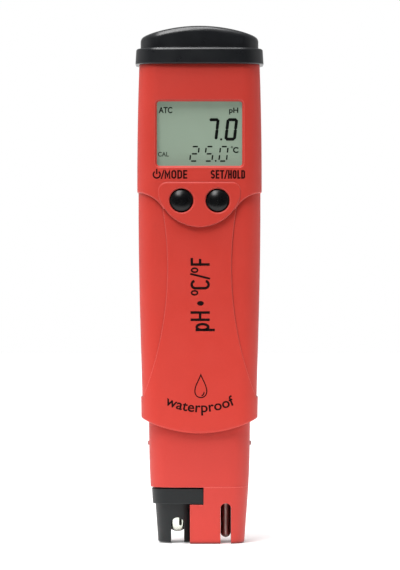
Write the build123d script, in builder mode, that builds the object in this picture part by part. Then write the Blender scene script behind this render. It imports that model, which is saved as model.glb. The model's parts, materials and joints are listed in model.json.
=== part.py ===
"""Pocket pH meter with a replaceable electrode: every separate piece, in millimetres.

+Z points up to the battery cap, the display faces -Y, and +X is to the right of somebody reading it.
The origin is the middle of the foot that the meter stands on.

The housing is a one-piece sleeve. The probe neck enters it from below and stops against an inner ledge. The
chassis drops in from above, snaps into the neck, and carries the board, the display and the battery tray. Two
captive screws reach through the battery cap into the tray's posts and draw the whole stack together. The
electrode plugs into the neck, and a wing on its collar sits in a notch of the guard until it is turned.
"""

from build123d import *
from math import atan2, cos, radians, sin, sqrt
import os

# ---------------------------------------------------------------- driving dimensions
TOP = 163.0  # crest of the cap's dome
HOUSING_TOP = 151.0
HOUSING_BASE = 30.0  # the lofted sleeve starts here, and the curved rim is cut from it
BODY_CORNER, BODY_CROWN = 6.5, 150.0

# each section: height, half width, half depth
BODY_SECTIONS = [
    (HOUSING_BASE, 18.3, 11.5),
    (46, 18.45, 11.5),
    (75, 19.25, 10.8),
    (100, 19.65, 11.0),
    (112, 19.65, 11.2),
    (HOUSING_TOP, 19.0, 11.2),
]
HEAD_SECTIONS = [(94, 19.45, 12.15), (112, 19.65, 12.2), (HOUSING_TOP, 19.0, 11.6)]

# grip scoops, cut into both sides up to a waisted line on the front and the back
SCOOP_DEPTH = 0.4
SCOOP_BOTTOM = 46.2
SCOOP_TOP = 118.0  # hidden under the head
WAIST_HALF_WIDTH, WAIST_HEIGHT, WAIST_RADIUS = 10.0, 87.0, 111.0

# the head's lower edge: an arc on each side, and a straight stretch that the pad covers
HEAD_EDGE_LOW, HEAD_EDGE_INNER = 105.4, 11.3
HEAD_EDGE_MIDDLE, HEAD_EDGE_TURN = 109.3, 15.2
HEAD_EDGE_HIGH, HEAD_EDGE_OUTER = 110.6, 19.7
HEAD_FILLET = 0.4

# raised pad around the buttons
PAD_PROUD, PAD_ROOT = 0.4, 9.8
PAD_TOP, PAD_HALF_WIDTH, PAD_SHOULDER, PAD_BOTTOM = 113.7, 12.85, 109.4, 99.75
PAD_CORNER, PAD_FILLET = 2.6, 0.3

# curved lower rim of the housing
RIM_LOW, RIM_SIDE, RIM_HALF_WIDTH, RIM_FILLET = 34.9, 40.0, 18.9, 0.6

# room inside the housing: spigot bore for the neck, ledge, then the main cavity
LEDGE_BOTTOM, LEDGE_TOP = 56.0, 58.0
LEDGE_HALF_WIDTH, LEDGE_HALF_DEPTH = 15.2, 8.7
CAVITY_SECTIONS = [
    (LEDGE_TOP, 16.2, 9.0),
    (75, 16.9, 8.9),
    (100, 17.2, 9.1),
    (114, 17.3, 9.35),
    (HOUSING_TOP, 17.0, 9.35),
]
CAVITY_CORNER, CAVITY_CROWN = 3.2, 600.0

# display window, with depths counted forward from the middle plane
WINDOW_HALF_WIDTH, WINDOW_BOTTOM, WINDOW_TOP = 13.4, 118.9, 139.15
WINDOW_CORNER, WINDOW_LIP = 0.9, 0.6
LENS_GAP = 0.1
LENS_FRONT, LENS_SEAT, LENS_BACK = 10.9, 10.0, 9.3
LENS_FLANGE = 1.35  # how far the flange reaches past the opening
GASKET_FRONT = 10.25

# buttons
BUTTON_X, BUTTON_Z, BUTTON_RADIUS = 5.67, 108.0, 3.25
BUTTON_CREST, BUTTON_SHOULDER = 13.0, 12.05
BUTTON_SEAL_DEPTH, BUTTON_SEAL_RADIUS, BUTTON_SEAL_SECTION = 11.2, 3.3, 0.4
BUTTON_HOLE_RADIUS, BUTTON_HOLE_LIP = 3.75, 0.35
BUTTON_FLANGE_RADIUS, BUTTON_FLANGE_FRONT, BUTTON_FLANGE_BACK = 4.7, 10.2, 9.5
BUTTON_POCKET_RADIUS, BUTTON_POCKET_FRONT = 4.95, 10.3
STEM_RADIUS, STEM_BACK = 1.5, 9.0

# board and display stack, with depths counted forward from the middle plane
BOARD_FRONT, BOARD_BACK = 5.6, 4.4
BOARD_BOTTOM, BOARD_SHOULDER, BOARD_TOP = 64.0, 102.0, 143.2
BOARD_TAIL_HALF_WIDTH, BOARD_HEAD_HALF_WIDTH, BOARD_CORNER = 9.5, 15.6, 1.0
GLASS_HALF_WIDTH, GLASS_THICKNESS, GLASS_FRONT = 14.3, 1.0, 9.1
FRONT_GLASS_BOTTOM, FRONT_GLASS_TOP = 116.0, 142.0
REAR_GLASS_BOTTOM, REAR_GLASS_TOP = 118.0, 140.0
REFLECTOR_THICKNESS = 0.2
HOLDER_WALL, HOLDER_GAP, HOLDER_FRONT = 0.6, 0.1, 8.8
STRIP_HALF_WIDTH, STRIP_MARGIN = 13.0, 0.3
SWITCH_SIDE, SWITCH_FRONT, SWITCH_BORE_END, PLUNGER_BACK, PLUNGER_GAP = 6.0, 7.8, 5.7, 6.3, 0.08
CHIP_Z, CHIP_SIDE, CHIP_HEIGHT, CHIP_LEGS, CHIP_LEG_PITCH = 90.0, 7.0, 1.3, 8, 0.8
LEG_WIDTH, LEG_REACH, LEG_THICKNESS = 0.35, 1.1, 0.5
SCREW_Z = (70.0, 98.5)
SCREW_X, SCREW_RADIUS, SCREW_HEAD_RADIUS, SCREW_HEAD_HEIGHT, SCREW_LENGTH = 6.5, 0.8, 1.6, 1.1, 5.0

# chassis
SPINE_FRONT, SPINE_BACK = -0.8, -2.2
SPINE_HALF_WIDTH, RIB_X, RIB_WIDTH, RIB_BACK = 8.5, 5.0, 1.0, -4.5
SHELF_BOTTOM, SHELF_TOP, SHELF_HALF_WIDTH, SHELF_FRONT, SHELF_BACK = 133.6, 135.0, 9.5, 3.4, -8.0
STANDOFF_RADIUS = 2.0
FOOT_TOP, FOOT_GAP = 57.6, 0.1
FOOT_OPENING_Y, FOOT_OPENING_LENGTH, FOOT_OPENING_WIDTH = -4.0, 10.0, 5.2
HOOK_OUTER, HOOK_THICKNESS, HOOK_HALF_WIDTH, HOOK_BOTTOM = 14.0, 1.3, 3.0, 49.6
HOOK_BARB, HOOK_BARB_TOP = 1.1, 51.4
HOOK_WINDOW_BOTTOM, HOOK_WINDOW_TOP, HOOK_WINDOW_HALF_WIDTH = 49.3, 51.6, 3.3

# battery tray and cells
TRAY_FLOOR, TRAY_FLOOR_TOP, TRAY_TOP = 135.0, 136.3, 146.2
TRAY_HALF_LENGTH, TRAY_END_WALL, TRAY_SIDE_WALL = 11.5, 0.6, 0.55
CELL_RADIUS, CELL_LENGTH, CELL_COUNT, CELL_GAP = 5.8, 5.4, 4, 0.1
CELL_CAN_CHAMFER, CELL_LID_RADIUS, CELL_LID_STEP = 0.3, 4.9, 0.3
CELL_Y, CELL_Z = 2.2, 142.2
CONTACT_THICKNESS, CONTACT_HALF_WIDTH = 0.2, 3.0
CONTACT_BOTTOM, CONTACT_TOP, SPRING_HALF_HEIGHT, SPRING_REACH = 136.6, 146.0, 3.4, 0.5
BATTERY_LEAD_X, BATTERY_LEAD_Z, BATTERY_LEAD_RADIUS, BATTERY_LEAD_BEND = 11.25, 131.5, 0.2, 1.0
POST_RADIUS, POST_BOTTOM = 2.2, 137.0

# battery cap
CAP_SEAT, FLANGE_TOP = HOUSING_TOP, 156.0
FLANGE_LOWER, FLANGE_UPPER = (20.25, 13.01), (19.95, 12.8)  # half width and half depth
FLANGE_CORNER, CAP_CROWN = 8.0, 110.0
FLANGE_TOP_FILLET, FLANGE_LOWER_FILLET = 0.7, 0.3
DOME_HALF_WIDTH, DOME_HALF_DEPTH, DOME_CORNER = 18.6, 11.3, 7.0
DOME_RADIUS, DOME_FILLET = 51.0, 1.9
PLUG_BOTTOM, PLUG_GAP, PLUG_WALL = 146.8, 0.15, 1.9
CAP_HOLLOW_TOP, BOSS_RADIUS = 158.6, 3.0
CAP_SEAL_Z, CAP_SEAL_SECTION, CAP_SEAL_SINK = 149.0, 0.6, 0.62
CAP_SCREW_X, CAP_SCREW_SEAT, CAP_SCREW_TIP = 14.4, 154.6, 139.6
CAP_SCREW_RADIUS, CAP_SCREW_HEAD, CAP_SCREW_HEAD_HEIGHT = 1.1, 2.1, 1.8
COUNTERBORE_RADIUS = 2.5

# probe neck and guard: height, half width, half depth
SPIGOT_HALF_WIDTH, SPIGOT_HALF_DEPTH = 16.0, 9.5  # the part of the neck that fits into the housing
NECK_SECTIONS = [
    (17.8, 15.45, 9.2),
    (30, 15.9, 9.4),
    (42, SPIGOT_HALF_WIDTH, SPIGOT_HALF_DEPTH),
    (49, SPIGOT_HALF_WIDTH, SPIGOT_HALF_DEPTH),
    (LEDGE_BOTTOM, SPIGOT_HALF_WIDTH, SPIGOT_HALF_DEPTH),
]
GUARD_SECTIONS = [(0, 14.15, 8.6), (6, 14.6, 8.8), (12.5, 15.1, 9.0), (17.8, 15.45, 9.2)]
NECK_CORNER, NECK_CROWN = 6.2, 70.0
NECK_SPLIT, NECK_HOLLOW, NECK_WALL, NECK_FIT = 17.8, 30.0, 1.8, 0.1
DECK_BOTTOM = 27.4
NECK_SEAL_Z, NECK_SEAL_SECTION, NECK_SEAL_SINK = 46.6, 0.6, 0.62
CATCH_Z, CATCH_RADIUS, CATCH_INNER, CATCH_OUTER = 31.5, 0.65, 14.5, 16.3
GUARD_EDGE = -3.0  # where the guard's wall ends beside the electrode
NOTCH_EDGE, NOTCH_BOTTOM, NOTCH_BACK = 1.3, 12.35, 0.35
GUARD_FILLET = 0.8

# electrode, turning about an upright axis left of the middle
ELECTRODE_X = -6.93
ELECTRODE_ROOM = 8.0  # radius of the hollow that it stands in
COLLAR_RADIUS, COLLAR_BOTTOM, COLLAR_TOP = 7.65, 12.6, 17.45
WING_EDGE, WING_INSET = 1.1, 0.35
TUBE_TOP_RADIUS, TUBE_FOOT_RADIUS, TUBE_FOOT, TUBE_BORE = 7.05, 6.15, 0.3, 4.9
TUBE_FOOT_FILLET, COLLAR_CHAMFER = 0.5, 0.25
FLOW_SLOT_WIDTH, FLOW_SLOT_TOP = 4.1, 8.2
CORE_BOTTOM, CORE_TOP, CORE_GAP = 9.4, 12.4, 0.05
PLUG_RADIUS, PLUG_TOP, SOCKET_BORE, PLUG_FOOT = 5.5, 26.8, 5.6, 14.4
PLUG_SEAL_Z, PLUG_SEAL_SECTION, PLUG_SEAL_RADIUS = 22.3, 0.55, 5.0
BULB_RADIUS, BULB_Z, GLASS_STEM_RADIUS, GLASS_WALL, GLASS_STEM_TOP = 3.0, 6.4, 2.3, 0.35, 20.0
WIRE_OFFSET, WIRE_RADIUS, WIRE_BOTTOM = 0.9, 0.45, 5.3
JUNCTION_REACH, JUNCTION_RADIUS, JUNCTION_ANGLE, JUNCTION_BOTTOM = 3.65, 0.65, 60.0, 8.9
PIN_RADIUS, PIN_FOOT, PIN_TOP = 1.0, 22.0, 34.0
BLADE_RADIUS, BLADE_WALL, BLADE_FOOT, BLADE_TOP = 3.1, 0.3, 25.0, 29.5
BLADE_GAP = 0.3
SOCKET_RADIUS, SOCKET_TOP, SOCKET_TUBE_WALL, SOCKET_TUBE_TOP = 5.4, 38.0, 0.25, 36.0
SOCKET_WASHER_RADIUS, SOCKET_WASHER_BOTTOM = 3.3, 29.6

# temperature probe
PROBE_X, PROBE_RADIUS, PROBE_TIP, PROBE_TOP, PROBE_WALL = 8.27, 1.6, 1.6, 31.5, 0.25
PROBE_SLOT_WIDTH, PROBE_SLOT_TOP = 3.34, 12.8
PROBE_POCKET_RADIUS, PROBE_POCKET_TOP = 2.4, 11.3
THERMISTOR_RADIUS, THERMISTOR_BOTTOM, THERMISTOR_TOP = 1.25, 3.6, 7.6
POTTING_RADIUS, POTTING_TOP = 3.6, 33.0
LEAD_RADIUS, LEAD_SPREAD = 0.22, 0.4
CABLE_RADIUS, CABLE_BEND, CABLE_X, LEAD_X, CABLE_DEPTH, CABLE_END = 0.9, 3.0, 2.4, 2.6, 3.3, 67.0
CABLE_LOW, CABLE_HIGH = 44.0, 52.0

CLEAR = 0.05  # radial room around screws, pins and seals
BEYOND = 30.0  # reach of a cut that goes right through


# ---------------------------------------------------------------- shared shapes
def outline(height, half_width, half_depth, corner, crown):
    """A level section of the meter: straight sides, round corners, slightly bowed front and back."""
    across = half_width - corner
    centre = crown - half_depth
    rise = sqrt((crown - corner) ** 2 - across**2)
    turn = atan2(rise, across)
    side_y = rise - centre
    touch = (crown * cos(turn), crown * sin(turn) - centre)
    middle = (across + corner * cos(turn / 2), side_y + corner * sin(turn / 2))
    with BuildSketch(Plane.XY.offset(height)) as section:
        with BuildLine():
            for way in (-1, 1):
                ThreePointArc((-touch[0], way * touch[1]), (0, way * half_depth), (touch[0], way * touch[1]))
                for hand in (-1, 1):
                    ThreePointArc(
                        (hand * touch[0], way * touch[1]),
                        (hand * middle[0], way * middle[1]),
                        (hand * half_width, way * side_y),
                    )
                Line((way * half_width, -side_y), (way * half_width, side_y))
        make_face()
    return section.sketch


def stack(sections, corner, crown, grow=0.0):
    """Level sections one above another, all grown outwards by the same amount."""
    return [
        outline(height, half_width + grow, half_depth + grow, corner + grow, crown + grow)
        for height, half_width, half_depth in sections
    ]


def facing_plate(depth, half_width, bottom, top, corner=0.0):
    """An upright rectangle that faces the front, at a distance in front of the middle plane."""
    with BuildSketch(Plane.XZ.offset(depth)) as plate:
        with Locations((0, (bottom + top) / 2)):
            if corner:
                RectangleRounded(2 * half_width, top - bottom, corner)
            else:
                Rectangle(2 * half_width, top - bottom)
    return plate.sketch


def upright_slot(across, width, top):
    """A slot with a round top, drawn in the front plane and open at the foot."""
    with BuildSketch(Plane.XZ) as slot:
        with Locations((across, (top - width) / 2)):
            Rectangle(width, top)
        with Locations((across, top - width / 2)):
            Circle(width / 2)
    return slot.sketch


def oval_ring(height, half_width, half_depth, corner, crown, section_radius):
    """A closed seal of round section that follows a level outline."""
    path = outline(height, half_width, half_depth, corner, crown).faces()[0].outer_wire()
    with BuildPart() as ring:
        with BuildSketch(Plane(path @ 0, z_dir=path % 0)):
            Circle(section_radius)
        sweep(path=path)
    return ring.part


def gland(height, half_width, half_depth, corner, crown, section_radius):
    """A square groove for the seal that oval_ring makes with the same numbers."""
    reach = section_radius + CLEAR
    low = height - reach
    outer = outline(low, half_width + reach, half_depth + reach, corner + reach, crown + reach)
    inner = outline(low, half_width - reach, half_depth - reach, corner - reach, crown - reach)
    return extrude(outer - inner, amount=2 * reach, mode=Mode.PRIVATE)


def wire_run(points, bend, radius):
    """A round wire along straight runs joined by arcs."""
    with BuildPart() as run:
        with BuildLine() as route:
            FilletPolyline(*points, radius=bend)
        with BuildSketch(Plane(route.line @ 0, z_dir=route.line % 0)):
            Circle(radius)
        sweep(path=route.line)
    return run.part


def screw(head_radius, head_height, shank_radius, length):
    """A pan-head screw with a cross recess: head above Z = 0, shank below."""
    with BuildPart() as fastener:
        with BuildSketch():
            Circle(head_radius)
        extrude(amount=head_height)
        fillet(fastener.edges().group_by(Axis.Z)[-1], radius=head_height * 0.35)
        with BuildSketch(Plane.XY.offset(head_height)):
            Rectangle(head_radius * 1.3, head_radius * 0.3)
            Rectangle(head_radius * 0.3, head_radius * 1.3)
        extrude(amount=-head_height * 0.5, mode=Mode.SUBTRACT)
        with BuildSketch():
            Circle(shank_radius)
        extrude(amount=-length)
        chamfer(fastener.edges().group_by(Axis.Z)[0], length=shank_radius * 0.5)
    return fastener.part


def waist(height):
    """Half width of the central panel at a height."""
    return WAIST_HALF_WIDTH + WAIST_RADIUS - sqrt(WAIST_RADIUS**2 - (height - WAIST_HEIGHT) ** 2)


pieces = {}

# ---------------------------------------------------------------- main housing
with BuildPart() as scoop_core:
    loft(stack(BODY_SECTIONS, BODY_CORNER, BODY_CROWN, grow=-SCOOP_DEPTH))

with BuildPart() as scoops:
    with BuildSketch(Plane.XZ):
        with BuildLine():
            ThreePointArc(
                (waist(SCOOP_BOTTOM), SCOOP_BOTTOM),
                (waist(WAIST_HEIGHT), WAIST_HEIGHT),
                (waist(SCOOP_TOP), SCOOP_TOP),
            )
            Polyline(
                (waist(SCOOP_TOP), SCOOP_TOP),
                (BEYOND, SCOOP_TOP),
                (BEYOND, SCOOP_BOTTOM),
                (waist(SCOOP_BOTTOM), SCOOP_BOTTOM),
            )
        make_face()
        mirror(about=Plane.YZ)
    extrude(amount=BEYOND, both=True)
    add(scoop_core.part, mode=Mode.SUBTRACT)

# the head block, ending below in the two side arcs
with BuildPart() as head:
    loft(stack(HEAD_SECTIONS, BODY_CORNER, BODY_CROWN))
    with BuildSketch(Plane.XZ):
        with BuildLine():
            for hand in (-1, 1):
                ThreePointArc(
                    (hand * HEAD_EDGE_INNER, HEAD_EDGE_LOW),
                    (hand * HEAD_EDGE_TURN, HEAD_EDGE_MIDDLE),
                    (hand * HEAD_EDGE_OUTER, HEAD_EDGE_HIGH),
                )
            Line((-HEAD_EDGE_INNER, HEAD_EDGE_LOW), (HEAD_EDGE_INNER, HEAD_EDGE_LOW))
            Polyline(
                (-HEAD_EDGE_OUTER, HEAD_EDGE_HIGH),
                (-BEYOND, HEAD_EDGE_HIGH),
                (-BEYOND, 0),
                (BEYOND, 0),
                (BEYOND, HEAD_EDGE_HIGH),
                (HEAD_EDGE_OUTER, HEAD_EDGE_HIGH),
            )
        make_face()
    extrude(amount=BEYOND, both=True, mode=Mode.SUBTRACT)
    head_edge = head.edges().filter_by(lambda edge: HEAD_EDGE_LOW - 0.1 < edge.center().Z < HEAD_EDGE_HIGH + 0.1)
    fillet(head_edge.filter_by(lambda edge: abs(edge.center().Y) > BODY_CORNER), radius=HEAD_FILLET)

with BuildPart() as pad:
    with BuildSketch(Plane.XZ.offset(PAD_ROOT)) as pad_face:
        with BuildLine():
            ThreePointArc((-PAD_HALF_WIDTH, PAD_SHOULDER), (0, PAD_BOTTOM), (PAD_HALF_WIDTH, PAD_SHOULDER))
            FilletPolyline(
                (PAD_HALF_WIDTH, PAD_SHOULDER),
                (PAD_HALF_WIDTH, PAD_TOP),
                (-PAD_HALF_WIDTH, PAD_TOP),
                (-PAD_HALF_WIDTH, PAD_SHOULDER),
                radius=PAD_CORNER,
            )
        make_face()
    extrude(amount=BEYOND)
    with BuildPart(mode=Mode.PRIVATE) as pad_limit:
        loft(stack(HEAD_SECTIONS, BODY_CORNER, BODY_CROWN, grow=PAD_PROUD))
    add(pad_limit.part, mode=Mode.INTERSECT)
    fillet(pad.faces().sort_by(Axis.Y)[0].edges(), radius=PAD_FILLET)

with BuildPart() as main_housing:
    loft(stack(BODY_SECTIONS, BODY_CORNER, BODY_CROWN))
    add(scoops.part, mode=Mode.SUBTRACT)
    with BuildSketch(Plane.XZ):
        with BuildLine():
            ThreePointArc((-RIM_HALF_WIDTH, RIM_SIDE), (0, RIM_LOW), (RIM_HALF_WIDTH, RIM_SIDE))
            Polyline(
                (-RIM_HALF_WIDTH, RIM_SIDE),
                (-BEYOND, RIM_SIDE),
                (-BEYOND, 0),
                (BEYOND, 0),
                (BEYOND, RIM_SIDE),
                (RIM_HALF_WIDTH, RIM_SIDE),
            )
        make_face()
    extrude(amount=BEYOND, both=True, mode=Mode.SUBTRACT)
    fillet(
        main_housing.edges().filter_by(lambda edge: RIM_LOW - 0.1 < edge.center().Z < RIM_SIDE + 0.1),
        radius=RIM_FILLET,
    )
    add(head.part)
    add(pad.part)
    # inside
    loft(
        [
            outline(
                height,
                SPIGOT_HALF_WIDTH + NECK_FIT,
                SPIGOT_HALF_DEPTH + NECK_FIT,
                NECK_CORNER + NECK_FIT,
                NECK_CROWN + NECK_FIT,
            )
            for height in (HOUSING_BASE, LEDGE_BOTTOM)
        ],
        mode=Mode.SUBTRACT,
    )
    loft(
        [
            outline(height, LEDGE_HALF_WIDTH, LEDGE_HALF_DEPTH, NECK_CORNER - 1, NECK_CROWN)
            for height in (LEDGE_BOTTOM - 1, LEDGE_TOP + 1)
        ],
        mode=Mode.SUBTRACT,
    )
    loft(stack(CAVITY_SECTIONS, CAVITY_CORNER, CAVITY_CROWN), mode=Mode.SUBTRACT)
    # display pocket and window
    pocket_reach = WINDOW_HALF_WIDTH + LENS_FLANGE + LENS_GAP
    pocket_bottom = WINDOW_BOTTOM - LENS_FLANGE - LENS_GAP
    pocket_top = WINDOW_TOP + LENS_FLANGE + LENS_GAP
    pocket = facing_plate(GASKET_FRONT, pocket_reach, pocket_bottom, pocket_top)
    extrude(pocket, amount=-(GASKET_FRONT - BOARD_FRONT), mode=Mode.SUBTRACT)
    window = facing_plate(LENS_SEAT, WINDOW_HALF_WIDTH, WINDOW_BOTTOM, WINDOW_TOP, WINDOW_CORNER)
    extrude(window, amount=BEYOND, mode=Mode.SUBTRACT)
    window_edge = main_housing.edges().filter_by(
        lambda edge: edge.bounding_box().max.Y < -LENS_FRONT
        and abs(edge.center().X) < WINDOW_HALF_WIDTH + 0.01
        and WINDOW_BOTTOM - 0.01 < edge.center().Z < WINDOW_TOP + 0.01
    )
    chamfer(window_edge, length=WINDOW_LIP)
    # button holes and the pockets behind them
    with BuildSketch(Plane.XZ.offset(BUTTON_POCKET_FRONT)):
        with Locations((-BUTTON_X, BUTTON_Z), (BUTTON_X, BUTTON_Z)):
            Circle(BUTTON_POCKET_RADIUS)
    extrude(amount=-(BUTTON_POCKET_FRONT - BOARD_FRONT), mode=Mode.SUBTRACT)
    with BuildSketch(Plane.XZ.offset(BOARD_FRONT)):
        with Locations((-BUTTON_X, BUTTON_Z), (BUTTON_X, BUTTON_Z)):
            Circle(BUTTON_HOLE_RADIUS)
    extrude(amount=BEYOND, mode=Mode.SUBTRACT)
    hole_edge = main_housing.edges().filter_by(
        lambda edge: edge.bounding_box().max.Y < -LENS_FRONT
        and abs(edge.center().Z - BUTTON_Z) < BUTTON_HOLE_RADIUS
        and abs(edge.bounding_box().size.Z - 2 * BUTTON_HOLE_RADIUS) < 0.01
    )
    chamfer(hole_edge, length=BUTTON_HOLE_LIP)

# ---------------------------------------------------------------- display stack
with BuildPart() as display_window:
    extrude(
        facing_plate(
            LENS_BACK,
            WINDOW_HALF_WIDTH + LENS_FLANGE,
            WINDOW_BOTTOM - LENS_FLANGE,
            WINDOW_TOP + LENS_FLANGE,
        ),
        amount=LENS_SEAT - LENS_BACK,
    )
    extrude(
        facing_plate(
            LENS_BACK,
            WINDOW_HALF_WIDTH - LENS_GAP,
            WINDOW_BOTTOM + LENS_GAP,
            WINDOW_TOP - LENS_GAP,
            WINDOW_CORNER - LENS_GAP,
        ),
        amount=LENS_FRONT - LENS_BACK,
    )
    fillet(display_window.faces().sort_by(Axis.Y)[0].edges(), radius=LENS_GAP * 2)

with BuildPart() as window_gasket:
    extrude(
        facing_plate(
            LENS_SEAT,
            WINDOW_HALF_WIDTH + LENS_FLANGE,
            WINDOW_BOTTOM - LENS_FLANGE,
            WINDOW_TOP + LENS_FLANGE,
        ),
        amount=GASKET_FRONT - LENS_SEAT,
    )
    extrude(
        facing_plate(LENS_BACK, WINDOW_HALF_WIDTH, WINDOW_BOTTOM, WINDOW_TOP, WINDOW_CORNER),
        amount=BEYOND,
        mode=Mode.SUBTRACT,
    )

rear_glass_back = GLASS_FRONT - 2 * GLASS_THICKNESS
with BuildPart() as lcd_glass:
    extrude(
        facing_plate(GLASS_FRONT, GLASS_HALF_WIDTH, FRONT_GLASS_BOTTOM, FRONT_GLASS_TOP),
        amount=-GLASS_THICKNESS,
    )
    extrude(
        facing_plate(rear_glass_back, GLASS_HALF_WIDTH, REAR_GLASS_BOTTOM, REAR_GLASS_TOP),
        amount=GLASS_THICKNESS,
    )

with BuildPart() as lcd_reflector:
    extrude(
        facing_plate(rear_glass_back, GLASS_HALF_WIDTH, REAR_GLASS_BOTTOM, REAR_GLASS_TOP),
        amount=-REFLECTOR_THICKNESS,
    )

holder_room = GLASS_HALF_WIDTH + HOLDER_GAP
holder_reach = holder_room + HOLDER_WALL
with BuildPart() as lcd_holder:
    extrude(
        facing_plate(
            BOARD_FRONT,
            holder_reach,
            FRONT_GLASS_BOTTOM - HOLDER_GAP - HOLDER_WALL,
            FRONT_GLASS_TOP + HOLDER_GAP + HOLDER_WALL,
        ),
        amount=HOLDER_FRONT - BOARD_FRONT,
    )
    extrude(
        facing_plate(
            BOARD_FRONT, holder_room, FRONT_GLASS_BOTTOM - HOLDER_GAP, FRONT_GLASS_TOP + HOLDER_GAP
        ),
        amount=BEYOND,
        mode=Mode.SUBTRACT,
    )

with BuildPart() as zebra_strips:
    for low, high in ((FRONT_GLASS_BOTTOM, REAR_GLASS_BOTTOM), (REAR_GLASS_TOP, FRONT_GLASS_TOP)):
        extrude(
            facing_plate(BOARD_FRONT, STRIP_HALF_WIDTH, low + STRIP_MARGIN, high - STRIP_MARGIN),
            amount=GLASS_FRONT - GLASS_THICKNESS - BOARD_FRONT,
        )

# ---------------------------------------------------------------- board
screw_places = [(hand * SCREW_X, height) for height in SCREW_Z for hand in (-1, 1)]
with BuildPart() as main_board:
    with BuildSketch(Plane.XZ.offset(BOARD_BACK)):
        with Locations((0, (BOARD_BOTTOM + BOARD_SHOULDER) / 2)):
            Rectangle(2 * BOARD_TAIL_HALF_WIDTH, BOARD_SHOULDER - BOARD_BOTTOM)
        with Locations((0, (BOARD_SHOULDER + BOARD_TOP) / 2)):
            Rectangle(2 * BOARD_HEAD_HALF_WIDTH, BOARD_TOP - BOARD_SHOULDER)
        with Locations(*screw_places):
            Circle(SCREW_RADIUS + CLEAR, mode=Mode.SUBTRACT)
    extrude(amount=BOARD_FRONT - BOARD_BACK)
    fillet(main_board.edges().filter_by(Axis.Y).filter_by(GeomType.LINE), radius=BOARD_CORNER)

with BuildPart() as microcontroller:
    with BuildSketch(Plane.XZ.offset(BOARD_FRONT)):
        with Locations((0, CHIP_Z)):
            for turn in (0, 90):
                with GridLocations(CHIP_SIDE + LEG_REACH, CHIP_LEG_PITCH, 2, CHIP_LEGS):
                    Rectangle(LEG_REACH, LEG_WIDTH)
                with GridLocations(CHIP_LEG_PITCH, CHIP_SIDE + LEG_REACH, CHIP_LEGS, 2):
                    Rectangle(LEG_WIDTH, LEG_REACH)
    extrude(amount=LEG_THICKNESS)
    with BuildSketch(Plane.XZ.offset(BOARD_FRONT)):
        with Locations((0, CHIP_Z)):
            Rectangle(CHIP_SIDE, CHIP_SIDE)
    extrude(amount=CHIP_HEIGHT)

# middle X, middle Z, width, height and thickness of each small part; a minus thickness is on the back
SMALL_PARTS = [
    (-6.2, 80.5, 2.0, 1.25, 0.9),
    (-6.2, 83.5, 2.0, 1.25, 0.9),
    (6.2, 80.5, 2.0, 1.25, 0.9),
    (6.2, 84.0, 3.2, 1.6, 1.2),
    (0.0, 80.0, 3.5, 2.0, 1.0),
    (-3.5, 75.5, 2.0, 1.25, 0.9),
    (3.5, 75.5, 2.0, 1.25, 0.9),
    (0.0, 71.0, 4.9, 3.9, 1.5),
    (-12.5, 105.5, 3.2, 1.6, 1.2),
    (12.5, 105.5, 3.2, 1.6, 1.2),
    (0.0, 106.0, 2.0, 1.25, 0.9),
    (0.0, 110.5, 2.0, 1.25, 0.9),
    (-4.0, 124.0, 6.0, 6.0, -1.8),
    (5.0, 118.0, 3.2, 2.5, -1.6),
]
with BuildPart() as board_components:
    for middle_x, middle_z, width, height, thickness in SMALL_PARTS:
        with BuildSketch(Plane.XZ.offset(BOARD_FRONT if thickness > 0 else BOARD_BACK)):
            with Locations((middle_x, middle_z)):
                Rectangle(width, height)
        extrude(amount=thickness)

with BuildPart() as board_screws:
    fastener = screw(SCREW_HEAD_RADIUS, SCREW_HEAD_HEIGHT, SCREW_RADIUS, SCREW_LENGTH)
    for across, height in screw_places:
        add(Plane(origin=(across, -BOARD_FRONT, height), z_dir=(0, -1, 0)) * fastener)

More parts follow.
